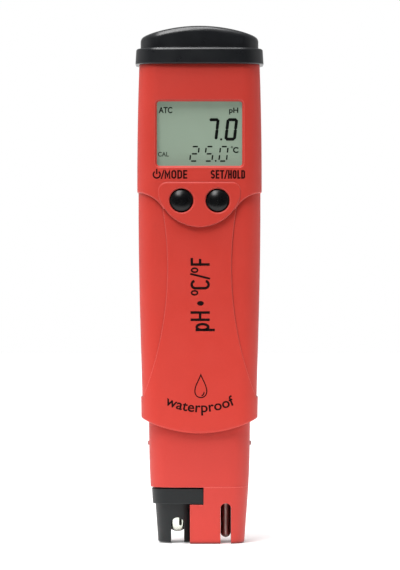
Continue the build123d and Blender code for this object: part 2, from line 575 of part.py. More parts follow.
# ---------------------------------------------------------------- buttons and their switches
crest_rise = BUTTON_CREST - BUTTON_SHOULDER
crest_radius = (BUTTON_RADIUS**2 + crest_rise**2) / (2 * crest_rise)
crest_centre = crest_radius - BUTTON_CREST
for side, name in ((-1, "mode"), (1, "hold")):
    with BuildPart() as switch:
        with BuildSketch(Plane.XZ.offset(BOARD_FRONT)):
            with Locations((side * BUTTON_X, BUTTON_Z)):
                Rectangle(SWITCH_SIDE, SWITCH_SIDE)
        extrude(amount=SWITCH_FRONT - BOARD_FRONT)
        with BuildSketch(Plane.XZ.offset(SWITCH_BORE_END)):
            with Locations((side * BUTTON_X, BUTTON_Z)):
                Circle(STEM_RADIUS + PLUNGER_GAP)
        extrude(amount=BEYOND, mode=Mode.SUBTRACT)
    pieces[f"{name}_switch"] = switch

    with BuildPart() as plunger:
        with BuildSketch(Plane.XZ.offset(PLUNGER_BACK)):
            with Locations((side * BUTTON_X, BUTTON_Z)):
                Circle(STEM_RADIUS)
        extrude(amount=STEM_BACK - PLUNGER_BACK)
    pieces[f"{name}_switch_plunger"] = plunger

    # the button is turned about its own middle line, and half of its section is drawn beside that line
    half_plane = Plane((side * BUTTON_X, 0, BUTTON_Z))
    middle_line = Axis((side * BUTTON_X, 0, BUTTON_Z), (0, 1, 0))
    with BuildPart() as button:
        with BuildSketch(half_plane):
            with BuildLine():
                Polyline(
                    (0, -BUTTON_CREST),
                    (0, -STEM_BACK),
                    (STEM_RADIUS, -STEM_BACK),
                    (STEM_RADIUS, -BUTTON_FLANGE_BACK),
                    (BUTTON_FLANGE_RADIUS, -BUTTON_FLANGE_BACK),
                    (BUTTON_FLANGE_RADIUS, -BUTTON_FLANGE_FRONT),
                    (BUTTON_RADIUS, -BUTTON_FLANGE_FRONT),
                    (BUTTON_RADIUS, -BUTTON_SHOULDER),
                )
                ThreePointArc(
                    (BUTTON_RADIUS, -BUTTON_SHOULDER),
                    (BUTTON_RADIUS / 2, crest_centre - sqrt(crest_radius**2 - BUTTON_RADIUS**2 / 4)),
                    (0, -BUTTON_CREST),
                )
            make_face()
        revolve(axis=middle_line)
        with BuildSketch(half_plane):
            with Locations((BUTTON_SEAL_RADIUS, -BUTTON_SEAL_DEPTH)):
                Circle(BUTTON_SEAL_SECTION + CLEAR)
        revolve(axis=middle_line, mode=Mode.SUBTRACT)
    pieces[f"{name}_button"] = button

    with BuildPart() as button_seal:
        with BuildSketch(half_plane):
            with Locations((BUTTON_SEAL_RADIUS, -BUTTON_SEAL_DEPTH)):
                Circle(BUTTON_SEAL_SECTION)
        revolve(axis=middle_line)
    pieces[f"{name}_button_seal"] = button_seal

# ---------------------------------------------------------------- chassis
with BuildPart() as chassis:
    loft(
        [
            outline(
                height,
                LEDGE_HALF_WIDTH - FOOT_GAP,
                LEDGE_HALF_DEPTH - FOOT_GAP,
                NECK_CORNER - 1 - FOOT_GAP,
                NECK_CROWN,
            )
            for height in (LEDGE_BOTTOM, FOOT_TOP)
        ]
    )
    with BuildSketch(Plane.XY.offset(LEDGE_BOTTOM)):
        with Locations((0, FOOT_OPENING_Y)):
            Rectangle(FOOT_OPENING_LENGTH, FOOT_OPENING_WIDTH)
    extrude(amount=FOOT_TOP - LEDGE_BOTTOM, mode=Mode.SUBTRACT)
    with BuildSketch(Plane.XY.offset(FOOT_TOP)):
        with Locations((0, -(SPINE_FRONT + SPINE_BACK) / 2)):
            Rectangle(2 * SPINE_HALF_WIDTH, SPINE_FRONT - SPINE_BACK)
        for hand in (-1, 1):
            with Locations((hand * RIB_X, -(SPINE_BACK + RIB_BACK) / 2)):
                Rectangle(RIB_WIDTH, SPINE_BACK - RIB_BACK)
    extrude(amount=SHELF_BOTTOM - FOOT_TOP)
    with BuildSketch(Plane.XY.offset(SHELF_BOTTOM)):
        with Locations((0, -(SHELF_FRONT + SHELF_BACK) / 2)):
            Rectangle(2 * SHELF_HALF_WIDTH, SHELF_FRONT - SHELF_BACK)
    extrude(amount=SHELF_TOP - SHELF_BOTTOM)
    with BuildSketch(Plane.XZ.offset(SPINE_FRONT)):
        with Locations(*screw_places):
            Circle(STANDOFF_RADIUS)
    extrude(amount=BOARD_BACK - SPINE_FRONT)
    with BuildSketch(Plane.XZ.offset(BOARD_BACK)):
        with Locations(*screw_places):
            Circle(SCREW_RADIUS + CLEAR)
    extrude(amount=-SCREW_LENGTH, mode=Mode.SUBTRACT)
    # snap hooks that reach down into the neck
    with BuildSketch(Plane.XZ):
        for hand in (-1, 1):
            with BuildLine():
                Polyline(
                    (hand * (HOOK_OUTER - HOOK_THICKNESS), LEDGE_BOTTOM),
                    (hand * HOOK_OUTER, LEDGE_BOTTOM),
                    (hand * HOOK_OUTER, HOOK_BARB_TOP),
                    (hand * (HOOK_OUTER + HOOK_BARB), HOOK_BARB_TOP),
                    (hand * HOOK_OUTER, HOOK_BOTTOM),
                    (hand * (HOOK_OUTER - HOOK_THICKNESS), HOOK_BOTTOM),
                    close=True,
                )
            make_face()
    extrude(amount=HOOK_HALF_WIDTH, both=True)

# ---------------------------------------------------------------- battery tray, cells and contacts
cell_room = CELL_RADIUS + CELL_GAP
tray_front = -CELL_Y + cell_room + TRAY_SIDE_WALL
tray_back = -CELL_Y - cell_room - TRAY_SIDE_WALL
tray_reach = TRAY_HALF_LENGTH + TRAY_END_WALL
with BuildPart() as battery_tray:
    with BuildSketch(Plane.XY.offset(TRAY_FLOOR)):
        with Locations((0, -(tray_front + tray_back) / 2)):
            Rectangle(2 * tray_reach, tray_front - tray_back)
    extrude(amount=TRAY_TOP - TRAY_FLOOR)
    with BuildSketch(Plane.XY.offset(POST_BOTTOM)):
        for hand in (-1, 1):
            with Locations((hand * CAP_SCREW_X, 0)):
                Circle(POST_RADIUS)
            with Locations((hand * (tray_reach + CAP_SCREW_X) / 2, 0)):
                Rectangle(CAP_SCREW_X - tray_reach, POST_RADIUS)
    extrude(amount=TRAY_TOP - POST_BOTTOM)
    with BuildSketch(Plane.XY.offset(TRAY_FLOOR_TOP)):
        with Locations((0, CELL_Y)):
            Rectangle(2 * TRAY_HALF_LENGTH, 2 * cell_room)
    extrude(amount=TRAY_TOP - TRAY_FLOOR_TOP, mode=Mode.SUBTRACT)
    with BuildSketch(Plane.XY.offset(CAP_SCREW_TIP - CLEAR)):
        with Locations((-CAP_SCREW_X, 0), (CAP_SCREW_X, 0)):
            Circle(CAP_SCREW_RADIUS + CLEAR)
    extrude(amount=TRAY_TOP - CAP_SCREW_TIP + CLEAR, mode=Mode.SUBTRACT)
    with BuildSketch(Plane.XY.offset(TRAY_FLOOR)):
        with Locations((-BATTERY_LEAD_X, CELL_Y), (BATTERY_LEAD_X, CELL_Y)):
            Circle(BATTERY_LEAD_RADIUS + CLEAR)
    extrude(amount=TRAY_TOP - TRAY_FLOOR, mode=Mode.SUBTRACT)

cell_pitch = CELL_LENGTH + CELL_GAP
last_cell_face = TRAY_HALF_LENGTH - CONTACT_THICKNESS - CLEAR
for number in range(CELL_COUNT):
    start = last_cell_face - CELL_LENGTH - number * cell_pitch
    base_plane = Plane((start, CELL_Y, CELL_Z), x_dir=(0, 1, 0), z_dir=(1, 0, 0))
    with BuildPart() as cell:
        with BuildSketch(base_plane):
            Circle(CELL_RADIUS)
        extrude(amount=CELL_LENGTH - CELL_LID_STEP)
        fillet(cell.edges(), radius=CELL_CAN_CHAMFER)
        with BuildSketch(base_plane.offset(CELL_LENGTH - CELL_LID_STEP)):
            Circle(CELL_LID_RADIUS)
        extrude(amount=CELL_LID_STEP)
    pieces[f"button_cell_{number + 1}"] = cell

spring_face = TRAY_HALF_LENGTH - CONTACT_THICKNESS
with BuildPart() as battery_plate:
    with BuildSketch(Plane.YZ.offset(spring_face)):
        with Locations((CELL_Y, (CONTACT_BOTTOM + CONTACT_TOP) / 2)):
            Rectangle(2 * CONTACT_HALF_WIDTH, CONTACT_TOP - CONTACT_BOTTOM)
    extrude(amount=CONTACT_THICKNESS)

with BuildPart() as battery_spring:
    with BuildSketch(Plane.YZ.offset(-TRAY_HALF_LENGTH)):
        with Locations((CELL_Y, (CONTACT_BOTTOM + CONTACT_TOP) / 2)):
            Rectangle(2 * CONTACT_HALF_WIDTH, CONTACT_TOP - CONTACT_BOTTOM)
    extrude(amount=CONTACT_THICKNESS)
    with BuildSketch(Plane.XZ.offset(-CELL_Y - CONTACT_HALF_WIDTH / 2)):
        with BuildLine():
            ThreePointArc(
                (-spring_face, CELL_Z - SPRING_HALF_HEIGHT),
                (-spring_face + SPRING_REACH, CELL_Z),
                (-spring_face, CELL_Z + SPRING_HALF_HEIGHT),
            )
            Line((-spring_face, CELL_Z + SPRING_HALF_HEIGHT), (-spring_face, CELL_Z - SPRING_HALF_HEIGHT))
        make_face()
    extrude(amount=CONTACT_HALF_WIDTH)

with BuildPart() as battery_leads:
    for hand in (-1, 1):
        add(
            wire_run(
                [
                    (hand * BATTERY_LEAD_X, CELL_Y, CONTACT_BOTTOM),
                    (hand * BATTERY_LEAD_X, CELL_Y, BATTERY_LEAD_Z),
                    (hand * BATTERY_LEAD_X, -BOARD_BACK, BATTERY_LEAD_Z),
                ],
                BATTERY_LEAD_BEND,
                BATTERY_LEAD_RADIUS,
            )
        )

# ---------------------------------------------------------------- battery cap
dome_centre = TOP - DOME_RADIUS
plug_half_width = CAVITY_SECTIONS[-1][1] - PLUG_GAP
plug_half_depth = CAVITY_SECTIONS[-1][2] - PLUG_GAP
plug_corner = CAVITY_CORNER - PLUG_GAP
cap_screw_places = [(-CAP_SCREW_X, 0), (CAP_SCREW_X, 0)]

cap_seal_line = (
    CAP_SEAL_Z,
    CAVITY_SECTIONS[-1][1] - CAP_SEAL_SINK,
    CAVITY_SECTIONS[-1][2] - CAP_SEAL_SINK,
    CAVITY_CORNER - CAP_SEAL_SINK,
    CAVITY_CROWN,
)
with BuildSketch(Plane.XY.offset(PLUG_BOTTOM)) as cap_bosses:
    with Locations(*cap_screw_places):
        Circle(BOSS_RADIUS)
hollow_half_width = plug_half_width - PLUG_WALL
hollow_half_depth = plug_half_depth - PLUG_WALL
cap_hollow = (
    outline(PLUG_BOTTOM, hollow_half_width, hollow_half_depth, plug_corner - PLUG_WALL / 2, CAVITY_CROWN)
    - cap_bosses.sketch
)

with BuildPart() as dome:
    extrude(outline(FLANGE_TOP, DOME_HALF_WIDTH, DOME_HALF_DEPTH, DOME_CORNER, CAP_CROWN), amount=BEYOND)
    with BuildSketch(Plane.XZ):
        with Locations((0, dome_centre)):
            Circle(DOME_RADIUS)
    extrude(amount=BEYOND, both=True, mode=Mode.INTERSECT)
    fillet(dome.faces().sort_by(Axis.Z)[-1].edges(), radius=DOME_FILLET)

with BuildPart() as battery_cap:
    loft(
        [
            outline(CAP_SEAT, *FLANGE_LOWER, FLANGE_CORNER, CAP_CROWN),
            outline(FLANGE_TOP, *FLANGE_UPPER, FLANGE_CORNER, CAP_CROWN),
        ]
    )
    fillet(battery_cap.edges().group_by(Axis.Z)[0], radius=FLANGE_LOWER_FILLET)
    fillet(battery_cap.edges().group_by(Axis.Z)[-1], radius=FLANGE_TOP_FILLET)
    add(dome.part)
    plug = outline(PLUG_BOTTOM, plug_half_width, plug_half_depth, plug_corner, CAVITY_CROWN)
    extrude(plug, amount=CAP_SEAT - PLUG_BOTTOM + FLANGE_LOWER_FILLET)
    add(gland(*cap_seal_line, CAP_SEAL_SECTION), mode=Mode.SUBTRACT)
    extrude(cap_hollow, amount=CAP_HOLLOW_TOP - PLUG_BOTTOM, mode=Mode.SUBTRACT)
    with BuildSketch(Plane.XY.offset(PLUG_BOTTOM)):
        with Locations(*cap_screw_places):
            Circle(CAP_SCREW_RADIUS + CLEAR)
    extrude(amount=BEYOND, mode=Mode.SUBTRACT)
    with BuildSketch(Plane.XY.offset(CAP_SCREW_SEAT)):
        with Locations(*cap_screw_places):
            Circle(COUNTERBORE_RADIUS)
    extrude(amount=BEYOND, mode=Mode.SUBTRACT)

with BuildPart() as cap_gasket:
    add(oval_ring(*cap_seal_line, CAP_SEAL_SECTION))

with BuildPart() as cap_screws:
    fastener = screw(CAP_SCREW_HEAD, CAP_SCREW_HEAD_HEIGHT, CAP_SCREW_RADIUS, CAP_SCREW_SEAT - CAP_SCREW_TIP)
    for across, _ in cap_screw_places:
        add(Pos(across, 0, CAP_SCREW_SEAT) * fastener)

# ---------------------------------------------------------------- probe neck
neck_seal_line = (
    NECK_SEAL_Z,
    SPIGOT_HALF_WIDTH + NECK_FIT - NECK_SEAL_SINK,
    SPIGOT_HALF_DEPTH + NECK_FIT - NECK_SEAL_SINK,
    NECK_CORNER + NECK_FIT - NECK_SEAL_SINK,
    NECK_CROWN,
)
with BuildPart() as neck_seal:
    add(oval_ring(*neck_seal_line, NECK_SEAL_SECTION))

with BuildPart() as probe_neck:
    loft(stack(NECK_SECTIONS, NECK_CORNER, NECK_CROWN))
    hollow_sections = [section for section in NECK_SECTIONS if section[0] >= NECK_HOLLOW]
    loft(stack(hollow_sections, NECK_CORNER, NECK_CROWN, grow=-NECK_WALL), mode=Mode.SUBTRACT)
    add(gland(*neck_seal_line, NECK_SEAL_SECTION), mode=Mode.SUBTRACT)
    with BuildSketch(Plane.YZ.offset(-BEYOND)):
        with Locations((0, (HOOK_WINDOW_BOTTOM + HOOK_WINDOW_TOP) / 2)):
            Rectangle(2 * HOOK_WINDOW_HALF_WIDTH, HOOK_WINDOW_TOP - HOOK_WINDOW_BOTTOM)
    extrude(amount=2 * BEYOND, mode=Mode.SUBTRACT)
    with BuildSketch(Plane.XY.offset(NECK_SPLIT)):
        with Locations((ELECTRODE_X, 0)):
            Circle(SOCKET_BORE)
    extrude(amount=DECK_BOTTOM - NECK_SPLIT, mode=Mode.SUBTRACT)
    with BuildSketch(Plane.XY.offset(NECK_SPLIT)):
        with Locations((ELECTRODE_X, 0)):
            Circle(BLADE_RADIUS + BLADE_GAP)
        with Locations((PROBE_X, 0)):
            Circle(PROBE_RADIUS + CLEAR)
    extrude(amount=NECK_HOLLOW - NECK_SPLIT, mode=Mode.SUBTRACT)
    for hand in (-1, 1):
        with BuildSketch(Plane.YZ.offset(hand * CATCH_INNER)):
            with Locations((0, CATCH_Z)):
                Circle(CATCH_RADIUS)
        extrude(amount=hand * (CATCH_OUTER - CATCH_INNER))

# ---------------------------------------------------------------- guard around the sensors
with BuildPart() as sensor_guard:
    loft(stack(GUARD_SECTIONS, NECK_CORNER, NECK_CROWN))
    fillet(sensor_guard.edges().group_by(Axis.Z)[0], radius=GUARD_FILLET)
    with BuildSketch(Plane.XY):
        with Locations((GUARD_EDGE - BEYOND / 2, 0)):
            Rectangle(BEYOND, 2 * BEYOND)
        with Locations((ELECTRODE_X, 0)):
            Circle(ELECTRODE_ROOM)
    extrude(amount=NECK_SPLIT, mode=Mode.SUBTRACT)
    with BuildSketch(Plane.XY.offset(NOTCH_BOTTOM)):
        with Locations((NOTCH_EDGE - BEYOND / 2, NOTCH_BACK - BEYOND / 2)):
            Rectangle(BEYOND, BEYOND)
    extrude(amount=NECK_SPLIT - NOTCH_BOTTOM, mode=Mode.SUBTRACT)
    with BuildSketch(Plane.XY):
        with Locations((PROBE_X, 0)):
            Circle(PROBE_RADIUS + CLEAR)
    extrude(amount=NECK_SPLIT, mode=Mode.SUBTRACT)
    with BuildSketch(Plane.XY):
        with Locations((PROBE_X, 0)):
            Circle(PROBE_POCKET_RADIUS)
    extrude(amount=PROBE_POCKET_TOP, mode=Mode.SUBTRACT)
    probe_slot = upright_slot(PROBE_X, PROBE_SLOT_WIDTH, PROBE_SLOT_TOP)
    extrude(probe_slot, amount=BEYOND, both=True, mode=Mode.SUBTRACT)

# ---------------------------------------------------------------- electrode
with BuildPart() as wing:
    loft(stack(GUARD_SECTIONS, NECK_CORNER, NECK_CROWN, grow=-WING_INSET))
    with BuildSketch(Plane.XY.offset(COLLAR_BOTTOM)):
        with Locations((WING_EDGE - BEYOND / 2, -BEYOND / 2)):
            Rectangle(BEYOND, BEYOND)
    extrude(amount=COLLAR_TOP - COLLAR_BOTTOM, mode=Mode.INTERSECT)

electrode_front = Plane((ELECTRODE_X, 0, 0), x_dir=(1, 0, 0), z_dir=(0, -1, 0))
electrode_axis = Axis((ELECTRODE_X, 0, 0), (0, 0, 1))
with BuildPart() as electrode_shell:
    with BuildSketch(Plane((ELECTRODE_X, 0, COLLAR_BOTTOM))):
        Circle(COLLAR_RADIUS)
    extrude(amount=COLLAR_TOP - COLLAR_BOTTOM)
    add(wing.part)
    chamfer(electrode_shell.faces().sort_by(Axis.Z)[-1].edges(), length=COLLAR_CHAMFER)
    with BuildSketch(electrode_front):
        with BuildLine():
            Polyline(
                (0, TUBE_FOOT),
                (TUBE_FOOT_RADIUS, TUBE_FOOT),
                (TUBE_TOP_RADIUS, COLLAR_BOTTOM),
                (TUBE_TOP_RADIUS, COLLAR_BOTTOM + 1),
                (0, COLLAR_BOTTOM + 1),
                close=True,
            )
        make_face()
    revolve(axis=electrode_axis)
    fillet(electrode_shell.edges().group_by(Axis.Z)[0], radius=TUBE_FOOT_FILLET)
    with BuildSketch(Plane((ELECTRODE_X, 0, 0))):
        Circle(TUBE_BORE)
    extrude(amount=COLLAR_TOP, mode=Mode.SUBTRACT)
    flow_slot = upright_slot(ELECTRODE_X, FLOW_SLOT_WIDTH, FLOW_SLOT_TOP)
    extrude(flow_slot, amount=BEYOND, both=True, mode=Mode.SUBTRACT)

core_radius = TUBE_BORE - CORE_GAP
stem_hole = GLASS_STEM_RADIUS + CORE_GAP
junction_x = JUNCTION_REACH * cos(radians(JUNCTION_ANGLE))
junction_y = JUNCTION_REACH * sin(radians(JUNCTION_ANGLE))
with BuildPart() as electrode_core:
    with BuildSketch(Plane((ELECTRODE_X, 0, CORE_BOTTOM))):
        Circle(core_radius)
        Circle(stem_hole, mode=Mode.SUBTRACT)
        with Locations((junction_x, junction_y)):
            Circle(JUNCTION_RADIUS + CORE_GAP, mode=Mode.SUBTRACT)
    extrude(amount=CORE_TOP - CORE_BOTTOM)

with BuildPart() as cloth_junction:
    with BuildSketch(Plane((ELECTRODE_X, 0, JUNCTION_BOTTOM))):
        with Locations((junction_x, junction_y)):
            Circle(JUNCTION_RADIUS)
    extrude(amount=PLUG_FOOT - JUNCTION_BOTTOM)

with BuildPart() as glass_bulb:
    for shrink, mode in ((0.0, Mode.ADD), (GLASS_WALL, Mode.SUBTRACT)):
        with Locations((ELECTRODE_X, 0, BULB_Z)):
            Sphere(BULB_RADIUS - shrink, mode=mode)
        with BuildSketch(Plane((ELECTRODE_X, 0, BULB_Z))):
            Circle(GLASS_STEM_RADIUS - shrink)
        extrude(amount=GLASS_STEM_TOP - BULB_Z, mode=mode)

with BuildPart() as reference_wire:
    with BuildSketch(Plane((ELECTRODE_X, 0, WIRE_BOTTOM))):
        with Locations((WIRE_OFFSET, 0)):
            Circle(WIRE_RADIUS)
    extrude(amount=PIN_FOOT - WIRE_BOTTOM)
    fillet(reference_wire.edges().group_by(Axis.Z)[0], radius=WIRE_RADIUS * 0.8)

with BuildPart() as electrode_plug:
    with BuildSketch(Plane((ELECTRODE_X, 0, PLUG_FOOT))):
        Circle(core_radius)
    extrude(amount=COLLAR_TOP - PLUG_FOOT)
    with BuildSketch(Plane((ELECTRODE_X, 0, COLLAR_TOP))):
        Circle(PLUG_RADIUS)
    extrude(amount=PLUG_TOP - COLLAR_TOP)
    with BuildSketch(Plane((ELECTRODE_X, 0, PLUG_FOOT))):
        Circle(stem_hole)
    extrude(amount=PIN_FOOT - PLUG_FOOT, mode=Mode.SUBTRACT)
    with BuildSketch(Plane((ELECTRODE_X, 0, PIN_FOOT))):
        Circle(PIN_RADIUS)
    extrude(amount=PLUG_TOP - PIN_FOOT, mode=Mode.SUBTRACT)
    with BuildSketch(Plane((ELECTRODE_X, 0, BLADE_FOOT))):
        Circle(BLADE_RADIUS)
        Circle(BLADE_RADIUS - BLADE_WALL, mode=Mode.SUBTRACT)
    extrude(amount=PLUG_TOP - BLADE_FOOT, mode=Mode.SUBTRACT)
    with BuildSketch(electrode_front):
        with Locations((PLUG_SEAL_RADIUS, PLUG_SEAL_Z)):
            Circle(PLUG_SEAL_SECTION + CLEAR)
    revolve(axis=electrode_axis, mode=Mode.SUBTRACT)

with BuildPart() as electrode_oring:
    with BuildSketch(electrode_front):
        with Locations((PLUG_SEAL_RADIUS, PLUG_SEAL_Z)):
            Circle(PLUG_SEAL_SECTION)
    revolve(axis=electrode_axis)

with BuildPart() as plug_contacts:
    with BuildSketch(Plane((ELECTRODE_X, 0, PIN_FOOT))):
        Circle(PIN_RADIUS)
    extrude(amount=PIN_TOP - PIN_FOOT)
    fillet(plug_contacts.edges().group_by(Axis.Z)[-1], radius=PIN_RADIUS * 0.7)
    with BuildSketch(Plane((ELECTRODE_X, 0, BLADE_FOOT))):
        Circle(BLADE_RADIUS)
        Circle(BLADE_RADIUS - BLADE_WALL, mode=Mode.SUBTRACT)
    extrude(amount=BLADE_TOP - BLADE_FOOT)

with BuildPart() as electrode_socket:
    with BuildSketch(Plane((ELECTRODE_X, 0, NECK_HOLLOW))):
        Circle(SOCKET_RADIUS)
    extrude(amount=SOCKET_TOP - NECK_HOLLOW)
    with BuildSketch(Plane((ELECTRODE_X, 0, NECK_HOLLOW))):
        Circle(PIN_RADIUS + CLEAR + SOCKET_TUBE_WALL)
    extrude(amount=SOCKET_TUBE_TOP - NECK_HOLLOW, mode=Mode.SUBTRACT)

with BuildPart() as socket_contacts:
    with BuildSketch(Plane((ELECTRODE_X, 0, NECK_HOLLOW))):
        Circle(PIN_RADIUS + CLEAR + SOCKET_TUBE_WALL)
        Circle(PIN_RADIUS + CLEAR, mode=Mode.SUBTRACT)
    extrude(amount=SOCKET_TUBE_TOP - NECK_HOLLOW)
    with BuildSketch(Plane((ELECTRODE_X, 0, SOCKET_WASHER_BOTTOM))):
        Circle(SOCKET_WASHER_RADIUS)
        Circle(SOCKET_WASHER_RADIUS / 2, mode=Mode.SUBTRACT)
    extrude(amount=NECK_HOLLOW - SOCKET_WASHER_BOTTOM)

with BuildPart() as electrode_cable:
    add(
        wire_run(
            [
                (ELECTRODE_X, 0, SOCKET_TOP),
                (ELECTRODE_X, 0, CABLE_LOW),
                (-CABLE_X, -CABLE_DEPTH, CABLE_HIGH),
                (-CABLE_X, -CABLE_DEPTH, CABLE_END),
            ],
            CABLE_BEND,
            CABLE_RADIUS,
        )
    )

# ---------------------------------------------------------------- temperature probe
with BuildPart() as temperature_probe:
    for shrink, mode in ((0.0, Mode.ADD), (PROBE_WALL, Mode.SUBTRACT)):
        with Locations((PROBE_X, 0, PROBE_TIP + PROBE_RADIUS)):
            Sphere(PROBE_RADIUS - shrink, mode=mode)
        with BuildSketch(Plane.XY.offset(PROBE_TIP + PROBE_RADIUS)):
            with Locations((PROBE_X, 0)):
                Circle(PROBE_RADIUS - shrink)
        extrude(amount=PROBE_TOP - PROBE_TIP - PROBE_RADIUS, mode=mode)

with BuildPart() as thermistor:
    with BuildSketch(Plane.XY.offset(THERMISTOR_BOTTOM)):
        with Locations((PROBE_X, 0)):
            Circle(THERMISTOR_RADIUS)
    extrude(amount=THERMISTOR_TOP - THERMISTOR_BOTTOM)
    fillet(thermistor.edges().group_by(Axis.Z)[0], radius=THERMISTOR_RADIUS / 2)

with BuildPart() as thermistor_leads:
    for hand in (-1, 1):
        add(
            wire_run(
                [
                    (PROBE_X + hand * LEAD_SPREAD, 0, THERMISTOR_TOP),
                    (PROBE_X + hand * LEAD_SPREAD, 0, CABLE_LOW),
                    (LEAD_X + hand * LEAD_SPREAD, -CABLE_DEPTH, CABLE_HIGH),
                    (LEAD_X + hand * LEAD_SPREAD, -CABLE_DEPTH, CABLE_END),
                ],
                CABLE_BEND,
                LEAD_RADIUS,
            )
        )

with BuildPart() as probe_potting:
    with BuildSketch(Plane.XY.offset(NECK_HOLLOW)):
        with Locations((PROBE_X, 0)):
            Circle(POTTING_RADIUS)
    extrude(amount=POTTING_TOP - NECK_HOLLOW)
    with BuildSketch(Plane.XY.offset(NECK_HOLLOW)):
        with Locations((PROBE_X, 0)):
            Circle(PROBE_RADIUS + CLEAR)
    extrude(amount=PROBE_TOP + CLEAR - NECK_HOLLOW, mode=Mode.SUBTRACT)
    with BuildSketch(Plane.XY.offset(NECK_HOLLOW)):
        with Locations((PROBE_X - LEAD_SPREAD, 0), (PROBE_X + LEAD_SPREAD, 0)):
            Circle(LEAD_RADIUS + CLEAR)
    extrude(amount=POTTING_TOP - NECK_HOLLOW, mode=Mode.SUBTRACT)

# ---------------------------------------------------------------- export
pieces |= {
    "main_housing": main_housing,
    "display_window": display_window,
    "window_gasket": window_gasket,
    "lcd_glass": lcd_glass,
    "lcd_reflector": lcd_reflector,
    "lcd_holder": lcd_holder,
    "zebra_strips": zebra_strips,
    "main_board": main_board,
    "microcontroller": microcontroller,
    "board_components": board_components,
    "board_screws": board_screws,
    "chassis": chassis,
    "battery_tray": battery_tray,
    "battery_plate": battery_plate,
    "battery_spring": battery_spring,
    "battery_leads": battery_leads,
    "battery_cap": battery_cap,
    "cap_gasket": cap_gasket,
    "cap_screws": cap_screws,
    "probe_neck": probe_neck,
    "neck_seal": neck_seal,
    "sensor_guard": sensor_guard,
    "electrode_shell": electrode_shell,
    "electrode_core": electrode_core,
    "cloth_junction": cloth_junction,
    "glass_bulb": glass_bulb,
    "reference_wire": reference_wire,
    "electrode_plug": electrode_plug,
    "electrode_oring": electrode_oring,
    "plug_contacts": plug_contacts,
    "electrode_socket": electrode_socket,
    "socket_contacts": socket_contacts,
    "electrode_cable": electrode_cable,
    "temperature_probe": temperature_probe,
    "thermistor": thermistor,
    "thermistor_leads": thermistor_leads,
    "probe_potting": probe_potting,
}
os.makedirs("parts", exist_ok=True)
for name, piece in pieces.items():
    piece.part.label = name
    export_step(piece.part, f"parts/{name}.step")
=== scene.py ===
import json
import math

import bmesh
import bpy
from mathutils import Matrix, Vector
from mathutils.bvhtree import BVHTree


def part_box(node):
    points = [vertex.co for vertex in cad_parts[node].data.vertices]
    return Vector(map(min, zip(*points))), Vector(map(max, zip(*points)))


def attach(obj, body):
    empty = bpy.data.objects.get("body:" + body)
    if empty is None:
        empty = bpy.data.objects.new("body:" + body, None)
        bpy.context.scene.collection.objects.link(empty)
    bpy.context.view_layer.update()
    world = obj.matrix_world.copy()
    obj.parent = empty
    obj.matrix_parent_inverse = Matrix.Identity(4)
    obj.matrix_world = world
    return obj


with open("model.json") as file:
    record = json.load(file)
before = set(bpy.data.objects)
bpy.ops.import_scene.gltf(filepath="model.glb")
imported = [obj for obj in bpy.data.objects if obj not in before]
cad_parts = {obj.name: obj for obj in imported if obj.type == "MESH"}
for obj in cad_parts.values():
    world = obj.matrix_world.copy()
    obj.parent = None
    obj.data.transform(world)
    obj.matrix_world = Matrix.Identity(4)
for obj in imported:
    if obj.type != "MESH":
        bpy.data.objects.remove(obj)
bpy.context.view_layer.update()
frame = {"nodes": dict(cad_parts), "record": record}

MM = 0.001
NODES = frame["nodes"]
# how far printing and display segments reach in front of their surface and behind it, in millimetres
PRINT_RISE, PRINT_SINK = 0.035, 0.05
SEGMENT_RISE, SEGMENT_SINK = 0.06, -0.01
CUT_STEP = 0.8  # printing is cut on a grid this fine, so that it follows a curved surface
WELD, SLIVER, CUT_REACH = 0.002, 0.001, 0.0005  # how near points are joined, dissolved and cut, in millimetres
SHARPEST_MITRE = 0.35  # keeps the outer point of a sharp corner from running away
# strength of the world's light in front of the object and behind it, and to its left and right
WORLD_FRONT, WORLD_BACK = 0.06, 0.45
WORLD_LEFT, WORLD_RIGHT = 1.0, 0.95
FLOOR_REACH, FLOOR_APRON, FLOOR_GLOW = 3.0, 0.16, 0.15
SUN_STRENGTH, SUN_SPREAD = 2.7, math.radians(40)
MIDDLE = (0, 0, 0.08)
CAMERA_PLACE = (0.00016, -1.1045, 0.0815)
CAMERA_LENS, CAMERA_SENSOR = 220, 36


# ---------------------------------------------------------------- colour and node helpers
def linear(red, green, blue):
    """A display colour from 0 to 255 as scene-linear RGBA."""
    out = []
    for value in (red, green, blue):
        share = value / 255
        out.append(share / 12.92 if share <= 0.04045 else ((share + 0.055) / 1.055) ** 2.4)
    return (*out, 1.0)


def new_material(name):
    material = bpy.data.materials.new(name)
    material.use_nodes = True
    tree = material.node_tree
    shader = tree.nodes["Principled BSDF"]
    place = tree.nodes.new("ShaderNodeTexCoord")
    return material, tree, shader, place.outputs["Object"]


def noise(tree, place, scale, detail=3.0, rough=0.5, stretch=None):
    """Fractal noise in object space; stretch scales the axes to give a drawn or brushed look."""
    texture = tree.nodes.new("ShaderNodeTexNoise")
    texture.inputs["Scale"].default_value = scale
    texture.inputs["Detail"].default_value = detail
    texture.inputs["Roughness"].default_value = rough
    source = place
    if stretch:
        mapping = tree.nodes.new("ShaderNodeMapping")
        mapping.inputs["Scale"].default_value = stretch
        tree.links.new(place, mapping.inputs["Vector"])
        source = mapping.outputs["Vector"]
    tree.links.new(source, texture.inputs["Vector"])
    return texture.outputs["Fac"]


def spread(tree, value, low, high, start=0.3, end=0.7):
    """Maps a value between start and end onto low to high."""
    node = tree.nodes.new("ShaderNodeMapRange")
    node.inputs["From Min"].default_value = start
    node.inputs["From Max"].default_value = end
    node.inputs["To Min"].default_value = low
    node.inputs["To Max"].default_value = high
    tree.links.new(value, node.inputs["Value"])
    return node.outputs["Result"]


